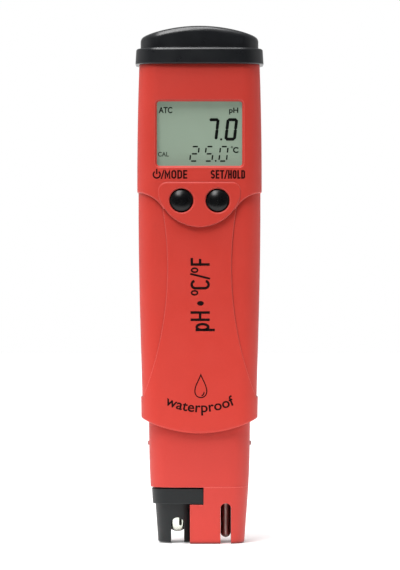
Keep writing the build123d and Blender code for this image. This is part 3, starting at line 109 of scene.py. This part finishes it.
def blend_colours(tree, factor, first, second):
    node = tree.nodes.new("ShaderNodeMix")
    node.data_type = "RGBA"
    tree.links.new(factor, node.inputs["Factor"])
    for socket, colour in ((node.inputs[6], first), (node.inputs[7], second)):
        if isinstance(colour, tuple):
            socket.default_value = colour
        else:
            tree.links.new(colour, socket)
    return node.outputs[2]


def shade(colour, factor):
    return (colour[0] * factor, colour[1] * factor, colour[2] * factor, 1.0)


def bump(tree, shader, height, distance, under=None):
    """Bumps the surface by height, on top of the normals in under where they are given."""
    node = tree.nodes.new("ShaderNodeBump")
    node.inputs["Strength"].default_value = 1.0
    node.inputs["Distance"].default_value = distance
    tree.links.new(height, node.inputs["Height"])
    if under:
        tree.links.new(under, node.inputs["Normal"])
    tree.links.new(node.outputs["Normal"], shader.inputs["Normal"])


def rounded_edges(tree, radius):
    """Normals that soften sharp edges, and a mask that is bright along those edges, where a highlight is
    painted.
    """
    soft = tree.nodes.new("ShaderNodeBevel")
    soft.samples = 6
    soft.inputs["Radius"].default_value = radius * MM
    shape = tree.nodes.new("ShaderNodeNewGeometry")
    match = tree.nodes.new("ShaderNodeVectorMath")
    match.operation = "DOT_PRODUCT"
    tree.links.new(soft.outputs["Normal"], match.inputs[0])
    tree.links.new(shape.outputs["Normal"], match.inputs[1])
    return soft.outputs["Normal"], spread(tree, match.outputs["Value"], 1.0, 0.0, 0.90, 0.995)


def crevice_shade(tree, reach):
    """A mask for painted shade: bright in the open and dark in gaps, corners and under overhangs."""
    node = tree.nodes.new("ShaderNodeAmbientOcclusion")
    node.samples = 8
    node.inputs["Distance"].default_value = reach * MM
    return spread(tree, node.outputs["AO"], 0.0, 1.0, 0.25, 0.85)


def plastic(name, colour, roughness=0.4, grain=0.4, depth=0.004, vary=0.06, specular=0.5,
            edge=0.0, highlight_gain=1.0, highlight_lift=0.02, crevice_shade_reach=0.0):
    """Moulded plastic: a spark-eroded grain, slow colour drift, patchy gloss, and where asked for, a painted
    highlight along the edges and painted shade in the crevices. The grain, its depth, edge and the crevice
    shade's reach are in millimetres."""
    material, tree, shader, place = new_material(name)
    drift = noise(tree, place, 1 / (18 * MM), detail=2)
    tone = blend_colours(tree, spread(tree, drift, 0, 1), shade(colour, 1 - vary), shade(colour, 1 + vary))
    speck = noise(tree, place, 1 / (0.6 * MM), detail=2)
    fine = blend_colours(tree, spread(tree, speck, 0, 0.12), tone, shade(colour, 0.8))
    soft_normal = None
    # Painted highlight: the colour turns paler along sharp edges, as light caught by a rounded edge would
    # look.
    if edge:
        soft_normal, edge_highlight = rounded_edges(tree, edge)
        highlight_colour = tuple(min(0.95, channel * highlight_gain + highlight_lift) for channel in colour[:3]) + (1.0,)
        fine = blend_colours(tree, edge_highlight, fine, highlight_colour)
    # Painted shade: ambient occlusion darkens the colour in gaps, corners and under overhangs.
    if crevice_shade_reach:
        fine = blend_colours(tree, crevice_shade(tree, crevice_shade_reach), shade(colour, 0.4), fine)
    tree.links.new(fine, shader.inputs["Base Color"])
    handled = noise(tree, place, 1 / (6 * MM), detail=4, rough=0.6)
    gloss = spread(tree, handled, roughness - 0.05, roughness + 0.06)
    tree.links.new(gloss, shader.inputs["Roughness"])
    texture = noise(tree, place, 1 / (grain * MM), detail=2)
    bump(tree, shader, texture, depth * MM, under=soft_normal)
    shader.inputs["Specular IOR Level"].default_value = specular
    return material


def rubber(name, colour):
    return plastic(name, colour, roughness=0.62, grain=0.25, depth=0.006, vary=0.1, specular=0.35)


def metal(name, colour, roughness, stretch, scratch=0.15, vary=0.08):
    """Drawn, rolled or plated metal, with fine lines along one axis."""
    material, tree, shader, place = new_material(name)
    drift = noise(tree, place, 1 / (5 * MM), detail=3)
    tone = blend_colours(tree, spread(tree, drift, 0, 1), shade(colour, 1 - vary), shade(colour, 1 + vary))
    tree.links.new(tone, shader.inputs["Base Color"])
    lines = noise(tree, place, 1 / (scratch * MM), detail=2, stretch=stretch)
    tree.links.new(spread(tree, lines, roughness - 0.07, roughness + 0.12), shader.inputs["Roughness"])
    bump(tree, shader, lines, 0.002 * MM)
    shader.inputs["Metallic"].default_value = 1.0
    return material


def clear_sheet(name, colour, alpha, roughness=0.04):
    """A clear flat pane: see-through, with a faint mirror and wiping marks in its gloss."""
    material, tree, shader, place = new_material(name)
    haze = noise(tree, place, 1 / (4 * MM), detail=4)
    tree.links.new(spread(tree, haze, roughness, roughness + 0.06), shader.inputs["Roughness"])
    tone = blend_colours(tree, spread(tree, haze, 0, 1), colour, shade(colour, 0.9))
    tree.links.new(tone, shader.inputs["Base Color"])
    bump(tree, shader, noise(tree, place, 1 / (9 * MM), detail=1), 0.002 * MM)
    shader.inputs["Metallic"].default_value = 1.0
    shader.inputs["Alpha"].default_value = alpha
    return material


def polariser(name, colour):
    """The front film of a reflective display: grey-green, satin, with a very fine even grain, and a faint glow
    in its own colour that is painted light.
    """
    material, tree, shader, place = new_material(name)
    drift = noise(tree, place, 1 / (12 * MM), detail=1)
    tone = blend_colours(tree, spread(tree, drift, 0, 1), shade(colour, 0.98), shade(colour, 1.02))
    tree.links.new(tone, shader.inputs["Base Color"])
    grain = noise(tree, place, 1 / (0.15 * MM), detail=1)
    tree.links.new(spread(tree, grain, 0.4, 0.5), shader.inputs["Roughness"])
    bump(tree, shader, grain, 0.0008 * MM)
    shader.inputs["Specular IOR Level"].default_value = 0.3
    # Painted light: the film glows in its own colour, which evens out the shade of the window's recess.
    shader.inputs["Emission Color"].default_value = colour
    shader.inputs["Emission Strength"].default_value = 0.7
    return material


def blown_glass(name):
    material, tree, shader, place = new_material(name)
    ripple = noise(tree, place, 1 / (2.5 * MM), detail=1)
    tree.links.new(spread(tree, ripple, 0.0, 0.03), shader.inputs["Roughness"])
    tone = blend_colours(tree, spread(tree, ripple, 0, 1), (0.9, 0.93, 0.86, 1), (0.96, 0.98, 0.93, 1))
    tree.links.new(tone, shader.inputs["Base Color"])
    bump(tree, shader, ripple, 0.01 * MM)
    shader.inputs["Transmission Weight"].default_value = 1.0
    shader.inputs["IOR"].default_value = 1.5
    return material


def laminate(name):
    """Circuit board under green lacquer, with faint straight tracks."""
    material, tree, shader, place = new_material(name)
    weave = tree.nodes.new("ShaderNodeTexBrick")
    weave.inputs["Scale"].default_value = 1 / (6 * MM)
    weave.inputs["Mortar Size"].default_value = 0.03
    weave.inputs["Color1"].default_value = linear(18, 92, 52)
    weave.inputs["Color2"].default_value = linear(22, 102, 58)
    weave.inputs["Mortar"].default_value = linear(40, 130, 74)
    mapping = tree.nodes.new("ShaderNodeMapping")
    mapping.inputs["Rotation"].default_value = (math.pi / 2, 0, 0)
    tree.links.new(place, mapping.inputs["Vector"])
    tree.links.new(mapping.outputs["Vector"], weave.inputs["Vector"])
    cloth = noise(tree, place, 1 / (0.5 * MM), detail=2)
    tone = blend_colours(tree, spread(tree, cloth, 0, 0.3), weave.outputs["Color"], linear(14, 78, 44))
    tree.links.new(tone, shader.inputs["Base Color"])
    tree.links.new(spread(tree, cloth, 0.25, 0.38), shader.inputs["Roughness"])
    bump(tree, shader, cloth, 0.004 * MM)
    return material


def wick(name):
    """Woven wick of the reference junction."""
    material, tree, shader, place = new_material(name)
    threads = tree.nodes.new("ShaderNodeTexWave")
    threads.inputs["Scale"].default_value = 1 / (0.8 * MM)
    threads.inputs["Distortion"].default_value = 2.0
    threads.bands_direction = "Z"
    tree.links.new(place, threads.inputs["Vector"])
    tone = blend_colours(tree, threads.outputs["Fac"], linear(206, 200, 184), linear(240, 238, 228))
    tree.links.new(tone, shader.inputs["Base Color"])
    shader.inputs["Roughness"].default_value = 0.9
    bump(tree, shader, threads.outputs["Fac"], 0.05 * MM)
    return material


HOUSING_RED = linear(204, 61, 50)
NECK_RED = linear(202, 63, 54)
CAP_BLACK = linear(22, 24, 27)
# The edge values below paint a paler highlight along edges; on the reds the last value paints shade into
# crevices.
materials = {
    "housing_red": plastic(
        "housing_red", HOUSING_RED, roughness=0.45, vary=0.025, specular=0.35,
        edge=0.35, highlight_gain=1.2, highlight_lift=0.07, crevice_shade_reach=2.5,
    ),
    "neck_red": plastic(
        "neck_red", NECK_RED, roughness=0.45, vary=0.025, specular=0.35,
        edge=0.3, highlight_gain=1.2, highlight_lift=0.06, crevice_shade_reach=2.0,
    ),
    "cap_black": plastic(
        "cap_black", CAP_BLACK, roughness=0.31, grain=0.3, depth=0.005, specular=0.6,
        edge=0.35, highlight_gain=3.0, highlight_lift=0.12,
    ),
    "button_black": plastic("button_black", linear(9, 9, 11), roughness=0.26, depth=0.001, specular=0.3),
    "window_clear": clear_sheet("window_clear", (0.9, 0.93, 0.92, 1), 0.02),
    "seal_rubber": rubber("seal_rubber", linear(16, 16, 17)),
    "lcd_glass": polariser("lcd_glass", linear(120, 135, 120)),
    "lcd_film": plastic("lcd_film", linear(200, 226, 199), roughness=0.5, grain=0.2, depth=0.001, vary=0.03),
    "frame_white": plastic("frame_white", linear(224, 224, 216), roughness=0.45),
    "strip_rubber": rubber("strip_rubber", linear(120, 118, 122)),
    "board_green": laminate("board_green"),
    "chip_black": plastic("chip_black", linear(32, 32, 34), roughness=0.5, grain=0.2),
    "component_tan": plastic("component_tan", linear(170, 148, 118), roughness=0.45, grain=0.2, vary=0.25),
    "steel": metal("steel", linear(98, 98, 100), 0.42, (1, 1, 1)),
    "switch_body": plastic("switch_body", linear(40, 40, 43), roughness=0.45),
    "chassis_grey": plastic("chassis_grey", linear(110, 112, 114), roughness=0.5),
    "cell_steel": metal("cell_steel", linear(206, 206, 202), 0.25, (0.1, 1, 1)),
    "contact_plate": metal("contact_plate", linear(214, 190, 132), 0.25, (1, 1, 0.15)),
    "wire_jacket": rubber("wire_jacket", linear(42, 42, 45)),
    "electrode_grey": plastic(
        "electrode_grey", linear(29, 32, 33), roughness=0.42, grain=0.3, depth=0.005, specular=0.3,
        edge=0.25, highlight_gain=1.8,
    ),
    "core_grey": plastic("core_grey", linear(186, 188, 186), roughness=0.5),
    "cloth_white": wick("cloth_white"),
    "bulb_glass": blown_glass("bulb_glass"),
    "electrode_wire": metal("electrode_wire", linear(92, 88, 86), 0.45, (1, 1, 0.1)),
    "probe_steel": metal("probe_steel", linear(172, 150, 146), 0.34, (1, 1, 0.06), scratch=0.6),
    "sensor_bead": plastic("sensor_bead", linear(120, 90, 70), roughness=0.3),
    "potting": plastic("potting", linear(40, 40, 44), roughness=0.2, grain=1.5, depth=0.01),
}
for part in frame["record"]["subparts"]:
    mesh = NODES[part["node"]].data
    mesh.materials.clear()
    mesh.materials.append(materials[part["material_slot"]])

ink = plastic(
    "print_ink", linear(24, 8, 8), roughness=0.6, grain=0.2, depth=0.002, vary=0.15, specular=0.1
)
crystal = plastic(
    "lcd_segment_dark", linear(8, 11, 10), roughness=0.6, grain=0.2, depth=0.001, specular=0.1
)
crystal_faint = plastic(
    "lcd_segment_faint", linear(26, 34, 29), roughness=0.6, grain=0.2, depth=0.001, specular=0.1
)


# ---------------------------------------------------------------- surface of the housing's front
def front_of(node):
    mesh = NODES[node].data
    place = NODES[node].matrix_world
    points = [place @ vertex.co for vertex in mesh.vertices]
    return BVHTree.FromPolygons(points, [tuple(face.vertices) for face in mesh.polygons])


housing_front = front_of("main_housing")


def surface_y(x, z):
    """Where the housing's front lies at a place, in metres."""
    hit = housing_front.ray_cast(Vector((x, -0.1, z)), Vector((0, 1, 0)))[0]
    return hit.y


def make_piece(name, mesh, material, body):
    mesh.name = name
    mesh.materials.clear()
    mesh.materials.append(material)
    piece = bpy.data.objects.new(name, mesh)
    bpy.context.scene.collection.objects.link(piece)
    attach(piece, body)
    return piece


# ---------------------------------------------------------------- flat shapes, in millimetres across and up
def glyph(text, box, bold=0.0):
    """One printed word or character as flat polygons that fill a box (left, right, foot, top)."""
    curve = bpy.data.curves.new("glyph", "FONT")
    curve.body = text
    curve.size = 1.0
    curve.offset = bold
    curve.resolution_u = 6
    holder = bpy.data.objects.new("glyph", curve)
    bpy.context.scene.collection.objects.link(holder)
    bpy.context.view_layer.update()
    mesh = bpy.data.meshes.new_from_object(holder.evaluated_get(bpy.context.evaluated_depsgraph_get()))
    bpy.data.objects.remove(holder)
    left, right, foot, top = box
    xs = [v.co.x for v in mesh.vertices]
    ys = [v.co.y for v in mesh.vertices]
    wide = (right - left) / (max(xs) - min(xs))
    tall = (top - foot) / (max(ys) - min(ys))
    points = [(left + (v.co.x - min(xs)) * wide, foot + (v.co.y - min(ys)) * tall) for v in mesh.vertices]
    faces = [tuple(face.vertices) for face in mesh.polygons]
    bpy.data.meshes.remove(mesh)
    return points, faces


def ribbon(line, width, closed=False):
    """A stroke of even width along a line of points, with mitred corners."""
    points, faces = [], []
    count = len(line)
    spans = count if closed else count - 1
    across = []
    for index in range(spans):
        start, end = Vector(line[index]), Vector(line[(index + 1) % count])
        along = (end - start).normalized()
        across.append(Vector((-along.y, along.x)))
    for index in range(count):
        before = across[index - 1] if closed or index else across[0]
        after = across[index] if index < spans else across[-1]
        mitre = (before + after) / max((before + after).length_squared, SHARPEST_MITRE)
        offset = mitre * width
        points.append((line[index][0] + offset.x, line[index][1] + offset.y))
        points.append((line[index][0] - offset.x, line[index][1] - offset.y))
    for index in range(spans):
        a, b = 2 * index, 2 * ((index + 1) % count)
        faces.append((a, b, b + 1, a + 1))
    return points, faces


def oval(centre, wide, tall, start, end, steps=10):
    """Points along an oval, with angles in degrees counted anticlockwise from the right."""
    turns = [math.radians(start + (end - start) * index / steps) for index in range(steps + 1)]
    return [(centre[0] + wide * math.cos(turn), centre[1] + tall * math.sin(turn)) for turn in turns]


def arc(centre, radius, start, end, steps=28):
    return oval(centre, radius, radius, start, end, steps)


def polygon(points):
    return list(points), [tuple(range(len(points)))]


def joined(shapes):
    points, faces = [], []
    for shape_points, shape_faces in shapes:
        base = len(points)
        points += shape_points
        faces += [tuple(base + index for index in face) for face in shape_faces]
    return points, faces


def letter(character, box, stroke):
    """A bold condensed letter drawn with strokes that fill a box (left, right, foot, top)."""
    left, right, foot, top = box
    half = stroke / 2
    low, high = foot + half, top - half
    west, east = left + half, right - half
    middle, centre = (low + high) / 2, (west + east) / 2
    reach = (east - west) / 2
    curl = min(reach, (high - low) / 2)
    head, heel = (centre, high - curl), (centre, low + curl)
    lines, loops = [], []
    if character == "M":
        dip = foot + 0.3 * (top - foot)
        lines = [[(west, foot), (west, high), (centre, dip), (east, high), (east, foot)]]
    elif character == "O":
        loops = [oval(head, reach, curl, 0, 180) + oval(heel, reach, curl, 180, 360)]
    elif character == "C":
        lines = [oval(head, reach, curl, 15, 180) + oval(heel, reach, curl, 180, 345)]
    elif character == "D":
        stem = centre - 0.2 * reach
        bowl = oval((stem, head[1]), 1.2 * reach, curl, 90, 0)
        bowl += oval((stem, heel[1]), 1.2 * reach, curl, 0, -90)
        loops = [[(west, low), (west, high)] + bowl]
    elif character == "E":
        lines = [
            [(right, high), (west, high), (west, low), (right, low)],
            [(west, middle), (right - 0.3 * half, middle)],
        ]
    elif character == "F":
        lines = [
            [(right, high), (west, high), (west, foot)],
            [(west, middle), (right - 0.8 * half, middle)],
        ]
    elif character == "L":
        lines = [[(west, top), (west, low), (right, low)]]
    elif character == "T":
        lines = [[(left, high), (right, high)], [(centre, high), (centre, foot)]]
    elif character == "H":
        lines = [
            [(west, foot), (west, top)],
            [(east, foot), (east, top)],
            [(west, middle), (east, middle)],
        ]
    elif character == "S":
        tall = (high - middle) / 2
        upper = oval((centre, high - tall), reach, tall, 20, 270)
        lower = oval((centre, low + tall), reach, tall, 90, -160)
        lines = [upper + lower[1:]]
    elif character == "/":
        lines = [[(left + half * 0.6, foot), (right - half * 0.6, top)]]
    elif character == "p":
        bowl_foot = low + 0.27 * (top - foot)
        tall = (high - bowl_foot) / 2
        loops = [oval((centre, bowl_foot + tall), reach, tall, 0, 345, 23)]
        lines = [[(west, foot), (west, top)]]
    return joined([ribbon(line, stroke, True) for line in loops] + [ribbon(line, stroke) for line in lines])


def word(characters, left, right, foot, top, stroke, gap, widths):
    """Letters of one word between left and right, each as wide as its share in widths."""
    room = right - left - gap * (len(characters) - 1)
    unit = room / sum(widths)
    shapes = []
    start = left
    for character, share in zip(characters, widths):
        shapes.append(letter(character, (start, start + unit * share, foot, top), stroke))
        start += unit * share + gap
    return joined(shapes)


def raised(shape, rise, sink, depth_at):
    """Closes a flat shape into a thin body, from rise in front of a surface to sink behind it."""
    points, faces = shape
    solid = bmesh.new()
    verts = [solid.verts.new((x * MM, 0, z * MM)) for x, z in points]
    for face in faces:
        solid.faces.new([verts[index] for index in face])
    bmesh.ops.remove_doubles(solid, verts=solid.verts, dist=WELD * MM)
    bmesh.ops.dissolve_degenerate(solid, edges=solid.edges, dist=SLIVER * MM)
    across, up = Vector((1, 0, 0)), Vector((0, 0, 1))
    for axis, extent in ((across, [x for x, z in points]), (up, [z for x, z in points])):
        level = math.floor(min(extent)) + CUT_STEP
        while level < max(extent):
            bmesh.ops.bisect_plane(
                solid,
                geom=[*solid.verts, *solid.edges, *solid.faces],
                plane_co=axis * level * MM,
                plane_no=axis,
                dist=CUT_REACH * MM,
            )
            level += CUT_STEP
    bmesh.ops.recalc_face_normals(solid, faces=solid.faces)
    for face in solid.faces:
        if face.normal.y > 0:
            face.normal_flip()
    extruded = bmesh.ops.extrude_face_region(solid, geom=list(solid.faces))
    front = {item for item in extruded["geom"] if isinstance(item, bmesh.types.BMVert)}
    for vert in solid.verts:
        level = depth_at(vert.co.x, vert.co.z)
        vert.co.y = level - rise * MM if vert in front else level + sink * MM
    bmesh.ops.recalc_face_normals(solid, faces=solid.faces)
    bmesh.ops.triangulate(solid, faces=solid.faces)
    mesh = bpy.data.meshes.new("raised")
    solid.to_mesh(mesh)
    solid.free()
    return mesh


def upright(shape, x_foot, z_start):
    """Turns a shape a quarter turn, so that it reads from the bottom to the top."""
    points, faces = shape
    return [(x_foot - y, z_start + x) for x, y in points], faces


def smile(shape, middle, foot, radius):
    """Bends a straight word round a circle whose centre is above it."""
    points, faces = shape
    centre = foot + radius
    out = []
    for x, y in points:
        turn = (x - middle) / radius
        out.append((middle + (radius - y) * math.sin(turn), centre - (radius - y) * math.cos(turn)))
    return out, faces


# ---------------------------------------------------------------- printing on the housing
LABEL_FOOT, LABEL_TOP, LABEL_STROKE = 114.85, 117.55, 0.48
SLASH_FOOT, SLASH_TOP, SLASH_STROKE = 114.8, 117.6, 0.4
POWER_X, POWER_Z, POWER_RADIUS, POWER_STROKE = -13.42, 116.15, 1.08, 0.45


def label(characters, left, right, gap, widths):
    return word(characters, left, right, LABEL_FOOT, LABEL_TOP, LABEL_STROKE, gap, widths)


def slash(left, right):
    return letter("/", (left, right, SLASH_FOOT, SLASH_TOP), SLASH_STROKE)


label_mode = joined([
    ribbon(arc((POWER_X, POWER_Z), POWER_RADIUS, 125, 415), POWER_STROKE),
    ribbon([(POWER_X, POWER_Z + 0.15), (POWER_X, POWER_Z + 1.8)], POWER_STROKE),
    slash(-12.1, -11.0),
    label("MODE", -10.95, -3.85, 0.3, (1.2, 1.05, 1.0, 0.85)),
])
label_hold = joined([
    label("SET", 3.5, 7.75, 0.22, (1.0, 0.85, 0.95)),
    slash(7.8, 8.8),
    label("HOLD", 8.95, 14.3, 0.25, (1.0, 1.0, 0.8, 1.0)),
])

# the unit line is drawn lying down, with its foot at 0, and then stood on end
UNIT_STROKE, UNIT_SLASH_STROKE, DEGREE_STROKE = 0.78, 0.6, 0.5
units = [
    letter("p", (0.0, 2.6, -1.6, 4.45), UNIT_STROKE),
    letter("H", (3.2, 6.25, 0.0, 6.0), UNIT_STROKE),
    letter("C", (13.1, 16.2, -0.05, 6.05), UNIT_STROKE),
    letter("/", (16.3, 18.2, -0.1, 6.1), UNIT_SLASH_STROKE),
    letter("F", (20.55, 23.0, 0.0, 6.0), UNIT_STROKE),
    ribbon(oval((12.05, 4.75), 0.62, 0.95, 0, 348, 30), DEGREE_STROKE, closed=True),
    ribbon(oval((19.15, 4.75), 0.62, 0.95, 0, 348, 30), DEGREE_STROKE, closed=True),
    polygon(oval((8.75, 2.9), 0.72, 1.05, 0, 348, 30)),
]
print_units = upright(joined(units), 3.2, 67.0)

DROP_X, DROP_Z, DROP_HALF_HEIGHT, DROP_WIDTH, DROP_STROKE = 0.42, 49.8, 3.62, 2.7, 0.33
DROP_POINTS, DROP_TAPER = 48, 1.6
drop_outline = []
for index in range(DROP_POINTS):
    turn = 2 * math.pi * index / DROP_POINTS
    reach = DROP_WIDTH * math.sin(turn) * math.sin(turn / 2) ** DROP_TAPER
    drop_outline.append((DROP_X - reach, DROP_Z + DROP_HALF_HEIGHT * math.cos(turn)))
drop_glint = arc((DROP_X, 47.7), 1.15, -78, 12, 16) + arc((0.2, 47.95), 1.1, 4, -66, 16)
print_drop = joined([ribbon(drop_outline, DROP_STROKE, closed=True), polygon(drop_glint)])

WORD_BOX, WORD_BOLD = (-11.4, 11.7, -0.95, 3.25), 0.014
WORD_MIDDLE, WORD_FOOT, WORD_RADIUS = 0.15, 41.5, 26.0
print_word = smile(glyph("waterproof", WORD_BOX, WORD_BOLD), WORD_MIDDLE, WORD_FOOT, WORD_RADIUS)

printed = (
    ("label_mode", label_mode),
    ("label_hold", label_hold),
    ("print_units", print_units),
    ("print_drop", print_drop),
    ("print_word", print_word),
)
for name, shape in printed:
    make_piece(name, raised(shape, PRINT_RISE, PRINT_SINK, surface_y), ink, "meter")

# ---------------------------------------------------------------- display
glass_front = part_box("lcd_glass")[0][1]


def glass_y(x, z):
    """Where the display glass's flat front lies, in metres."""
    return glass_front


SLANT = math.tan(math.radians(6.5))
POINT_SHARE = 0.8  # how far a segment's pointed end reaches, as a share of half its stroke
LIT = {
    "7": "abc",
    "0": "abcdef",
    "2": "abged",
    "5": "afgcd",
}


def digit(value, box, stroke, gap):
    """A slanted seven-segment digit that fills a box (left, right, foot, top)."""
    left, right, foot, top = box
    lean = (top - foot) * SLANT
    wide = right - left - lean
    middle = (foot + top) / 2
    half = stroke / 2
    point = half * POINT_SHARE

    def lean_over(points):
        return polygon([(left + x + (y - foot) * SLANT, y) for x, y in points])

    def bar(y, inset):
        return lean_over([
            (inset + gap, y + half),
            (wide - inset - gap, y + half),
            (wide - inset - gap + point, y),
            (wide - inset - gap, y - half),
            (inset + gap, y - half),
            (inset + gap - point, y),
        ])

    def post(x, low, high):
        return lean_over([
            (x - half, low + gap),
            (x, low + gap - point),
            (x + half, low + gap),
            (x + half, high - gap),
            (x, high - gap + point),
            (x - half, high - gap),
        ])

    places = {
        "a": bar(top - half, half),
        "d": bar(foot + half, half),
        "g": bar(middle, half),
        "f": post(half, middle, top - half),
        "b": post(wide - half, middle, top - half),
        "e": post(half, foot + half, middle),
        "c": post(wide - half, foot + half, middle),
    }
    return joined([places[segment] for segment in LIT[value]])


def dot(x, z, radius):
    return polygon(arc((x, z), radius, 0, 340, 17))


def main_digit(value, left, right):
    return digit(value, (left, right, 126.9, 133.95), 0.95, 0.22)


def small_digit(value, left, right):
    return digit(value, (left, right, 120.25, 125.25), 0.46, 0.5)


main_reading = joined([
    main_digit("7", 2.0, 6.4),
    main_digit("0", 7.75, 12.2),
    dot(6.8, 127.3, 0.36),
])
small_reading = joined([
    small_digit("2", -3.3, 0.15),
    small_digit("5", 1.35, 4.7),
    small_digit("0", 5.85, 9.25),
    dot(5.1, 120.55, 0.28),
])
words = joined([
    glyph("ATC", (-12.85, -8.55, 135.5, 137.5), 0.03),
    glyph("pH", (9.3, 12.2, 135.1, 137.3), 0.03),
    glyph("C", (10.5, 12.25, 123.0, 124.9), 0.04),
    ribbon(arc((10.2, 124.85), 0.24, 0, 340, 16), 0.16, closed=True),
])
small_words = glyph("CAL", (-13.05, -9.65, 121.9, 123.35), 0.01)
for name, shape, material in (
    ("lcd_main_reading", main_reading, crystal),
    ("lcd_small_reading", small_reading, crystal),
    ("lcd_words", words, crystal_faint),
    ("lcd_small_words", small_words, crystal_faint),
):
    make_piece(name, raised(shape, SEGMENT_RISE, SEGMENT_SINK, glass_y), material, "meter")

# ---------------------------------------------------------------- floor, lights and camera
floor_corners = [
    (-FLOOR_REACH, -FLOOR_APRON, 0),
    (FLOOR_REACH, -FLOOR_APRON, 0),
    (FLOOR_REACH, FLOOR_REACH, 0),
    (-FLOOR_REACH, FLOOR_REACH, 0),
]
floor_mesh = bpy.data.meshes.new("floor")
floor_mesh.from_pydata(floor_corners, [], [(0, 1, 2, 3)])
floor = bpy.data.objects.new("floor", floor_mesh)
bpy.context.scene.collection.objects.link(floor)
floor_paint, floor_tree, floor_shader, floor_place = new_material("floor_paint")
floor_mottle = spread(floor_tree, noise(floor_tree, floor_place, 6), 0, 1)
floor_tone = blend_colours(floor_tree, floor_mottle, (0.96, 0.96, 0.96, 1), (0.98, 0.98, 0.98, 1))
floor_tree.links.new(floor_tone, floor_shader.inputs["Base Color"])
floor_shader.inputs["Roughness"].default_value = 0.7
floor_shader.inputs["Emission Color"].default_value = (1, 1, 1, 1)
floor_shader.inputs["Emission Strength"].default_value = FLOOR_GLOW
floor_mesh.materials.append(floor_paint)

# The studio is bright behind the object and dim in front, as a dark room behind a camera is.
world = bpy.data.worlds.new("studio")
bpy.context.scene.world = world
world.use_nodes = True
world_nodes = world.node_tree
background = world_nodes.nodes["Background"]
direction = world_nodes.nodes.new("ShaderNodeTexCoord")
axes = world_nodes.nodes.new("ShaderNodeSeparateXYZ")
world_nodes.links.new(direction.outputs["Generated"], axes.inputs["Vector"])
depth = spread(world_nodes, axes.outputs["Y"], WORLD_FRONT, WORLD_BACK, -0.75, 0.0)
side = spread(world_nodes, axes.outputs["X"], WORLD_LEFT, WORLD_RIGHT, -0.8, 0.8)
light_level = world_nodes.nodes.new("ShaderNodeMath")
light_level.operation = "MULTIPLY"
world_nodes.links.new(depth, light_level.inputs[0])
world_nodes.links.new(side, light_level.inputs[1])
world_nodes.links.new(light_level.outputs["Value"], background.inputs["Strength"])
background.inputs["Color"].default_value = (1, 1, 1, 1)
# The camera sees this world as a plain white backdrop, whatever light comes from it.
seen = world_nodes.nodes.new("ShaderNodeBackground")
seen.inputs["Color"].default_value = (1, 1, 1, 1)
seen.inputs["Strength"].default_value = 1.0
path = world_nodes.nodes.new("ShaderNodeLightPath")
choose = world_nodes.nodes.new("ShaderNodeMixShader")
world_nodes.links.new(path.outputs["Is Camera Ray"], choose.inputs["Fac"])
world_nodes.links.new(background.outputs["Background"], choose.inputs[1])
world_nodes.links.new(seen.outputs["Background"], choose.inputs[2])
world_nodes.links.new(choose.outputs["Shader"], world_nodes.nodes["World Output"].inputs["Surface"])


def softbox(name, place, aim, size, power):
    light = bpy.data.lights.new(name, "AREA")
    light.shape = "RECTANGLE"
    light.size, light.size_y = size
    light.energy = power
    lamp = bpy.data.objects.new(name, light)
    bpy.context.scene.collection.objects.link(lamp)
    lamp.location = place
    lamp.rotation_euler = (Vector(aim) - Vector(place)).to_track_quat("-Z", "Y").to_euler()


softbox("key", (-0.4, -0.9, 1.15), MIDDLE, (0.6, 0.6), 14)
softbox("low", (-0.05, -0.42, 0.005), (0, 0, 0.03), (0.25, 0.01), 0.01)
sun_data = bpy.data.lights.new("room", "SUN")
sun_data.energy = SUN_STRENGTH
sun_data.angle = SUN_SPREAD
sun = bpy.data.objects.new("room", sun_data)
bpy.context.scene.collection.objects.link(sun)
sun.rotation_euler = (math.radians(9), math.radians(-6), 0)

camera_data = bpy.data.cameras.new("camera")
camera_data.lens = CAMERA_LENS
camera_data.sensor_width = CAMERA_SENSOR
camera_data.clip_start = 0.05
camera_data.clip_end = 20
camera = bpy.data.objects.new("camera", camera_data)
bpy.context.scene.collection.objects.link(camera)
camera.location = CAMERA_PLACE
camera.rotation_euler = (math.pi / 2, 0, 0)
bpy.context.scene.camera = camera
bpy.context.scene.view_settings.view_transform = "Standard"
